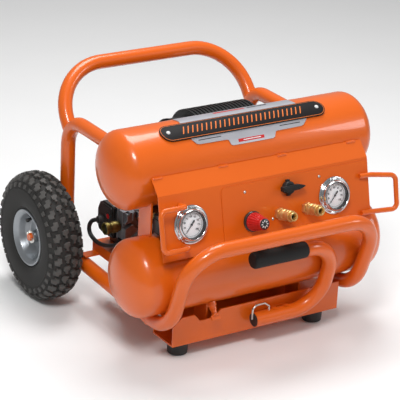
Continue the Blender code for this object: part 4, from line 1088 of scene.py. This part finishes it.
def drain():
    outward = turned_at((-0.112, *LOWER), 143, "X")
    seat = TANK_R + 0.0006
    bung = [
        (0, -0.007), (0.0054, -0.007), (0.0054, -0.0006), (0.0092, -0.0004), (0.0092, 0.006),
        (0.0078, 0.0072), (0.007, 0.008), (0.007, 0.015), (0.0055, 0.0162), (0.0055, 0.0218), (0, 0.0218),
    ]
    Shape().add(spin(bung, 36)).make("drain_valve", PAINT, place=outward @ Matrix.Translation((0, 0, seat)))
    knob = [(0, 0), (0.0064, 0), (0.007, 0.001), (0.007, 0.0052), (0.006, 0.006), (0, 0.006)]
    shape = Shape().add(spin(knob, 36)).add(block((-0.01, -0.0021, 0.0035), (0.01, 0.0021, 0.013)))
    place = outward @ Matrix.Translation((0, 0, seat + 0.0223))
    shape.make("drain_knob", PAINT, "drain_cap", place=place, bevel=0.0006)


def wheel_details(side, hand):
    """Valve stem on the rim, washer and split pin on the axle."""
    body = f"{side}_wheel"
    place = Matrix.Translation((hand * WHEEL_X, *AXLE)) @ Matrix.Rotation(math.radians(90 * hand), 4, "Y")
    stem = [
        (0, 0), (0.0046, 0), (0.0048, 0.003), (0.0032, 0.006), (0.003, 0.016), (0.004, 0.0166),
        (0.004, 0.022), (0.003, 0.024), (0, 0.024),
    ]
    tilt = Matrix.Rotation(
        math.radians(14 if hand < 0 else 166), 4, "Z",
    ) @ Matrix.Translation((0.04, 0, 0.006))
    Shape().add(
        spin(stem, 24), tilt @ Matrix.Rotation(math.radians(-14), 4, "Y"),
    ).make(f"valve_stem_{side}", RUBBER, body, place=place)
    ring = [
        (0.0084, 0.0205), (0.0138, 0.0206), (0.014, 0.0212), (0.014, 0.0224), (0.0134, 0.023),
        (0.0084, 0.023),
    ]
    name = f"axle_washer_{side}"
    Shape().add(spin(ring, 48, closed=True)).make(name, ZINC, place=place)
    pin = [(0.0, -0.0125, 0.0252), (0.0, 0.011, 0.0252), (0.003, 0.013, 0.0252), (0.0055, 0.01, 0.0252)]
    Shape().add(sweep(pin, 0.0013, 12)).make(f"split_pin_{side}", ZINC, place=place)


# ---------------- camera and light


def studio():
    scene = bpy.context.scene
    data = bpy.data.cameras.new("camera")
    data.sensor_width = 36.0
    data.lens = 171.9
    camera = bpy.data.objects.new("camera", data)
    scene.collection.objects.link(camera)
    eye = Vector((-1.989, -2.999, 1.711))
    target = Vector((0.024, 0.049, 0.204))
    aim = (target - eye).to_track_quat("-Z", "Y").to_matrix().to_4x4()
    camera.matrix_world = Matrix.Translation(eye) @ aim @ Matrix.Rotation(math.radians(2.88), 4, "Z")
    scene.camera = camera
    world = bpy.data.worlds.new("studio")
    world.use_nodes = True
    world.node_tree.nodes["Background"].inputs["Color"].default_value = (1, 1, 1, 1)
    world.node_tree.nodes["Background"].inputs["Strength"].default_value = 0.3
    scene.world = world
    lamps = (
        ("key", (-1.3, -1.5, 2.5), 0.7, 48),
        ("fill", (2.2, -1.8, 1.5), 0.8, 16),
        ("top", (0.3, 0.6, 2.5), 1.2, 44),
    )
    for name, place, size, power in lamps:
        lamp = bpy.data.lights.new(name, "AREA")
        lamp.size = size
        lamp.energy = power
        made = bpy.data.objects.new(name, lamp)
        made.location = place
        made.rotation_euler = (Vector((0, 0, 0.25)) - Vector(place)).to_track_quat("-Z", "Y").to_euler()
        scene.collection.objects.link(made)
    floor = Shape().add(block((-6, -6, -0.02), (6, 6, -0.0004)))
    mesh = bpy.data.meshes.new("floor")
    mesh.from_pydata(floor.verts, [], floor.faces)
    pale = finish_of("floor", ((0.86, 0.86, 0.86), (0.88, 0.88, 0.88)), (0.6, 0.7), bump=0.02)
    mesh.materials.append(pale)
    made = bpy.data.objects.new("floor", mesh)
    scene.collection.objects.link(made)
    scene.view_settings.view_transform = "Standard"


tanks()
frame_tubes()
for label, hand in (("left", -1), ("right", 1)):
    tyre(f"tyre_{label}", hand)
    rim(f"rim_{label}", hand)
for label, place, x in (("left", (-0.177, 0.0), -0.162), ("right", (0.156, 0.0), 0.162)):
    gauge(label, place, 0.0003 if label == "left" else COVER)
    foot(label, x)
for label, hand in (("left", -1), ("right", 1)):
    wheel_details(label, hand)
shroud()
motor()
pump()
motor_lead()
pressure_controls()
drain()
coupler("left", (0.023, -0.014))
coupler("right", (0.087, -0.014))
lift_handle()
cord_hooks()
regulator()
switch()
panel_screws()
name_plate()
SHARED = (
    PAINT, TYRE, RUBBER, FOAM, PLASTIC, RED, CHROME, ZINC, BRASS, COPPER, CASTING, ENAMEL, SILVER, DIAL,
    GLASS,
)
FINISHES = {SLOT_OF[finish.name]: finish for finish in SHARED} | {"rim_steel": RIM, "black_casting": ENAMEL}
EDGES = {
    "front_channel": 0.0008, "deck_plate": 0.0008, "control_panel": 0.0005, "panel_cover": 0.0004,
    "tank_strut_left": 0.0006, "tank_strut_right": 0.0006, "rotary_switch": 0.001,
}
for item in frame["record"]["subparts"]:
    keep(item["node"], FINISHES[item["material_slot"]], EDGES.get(item["node"], 0.0))
studio()
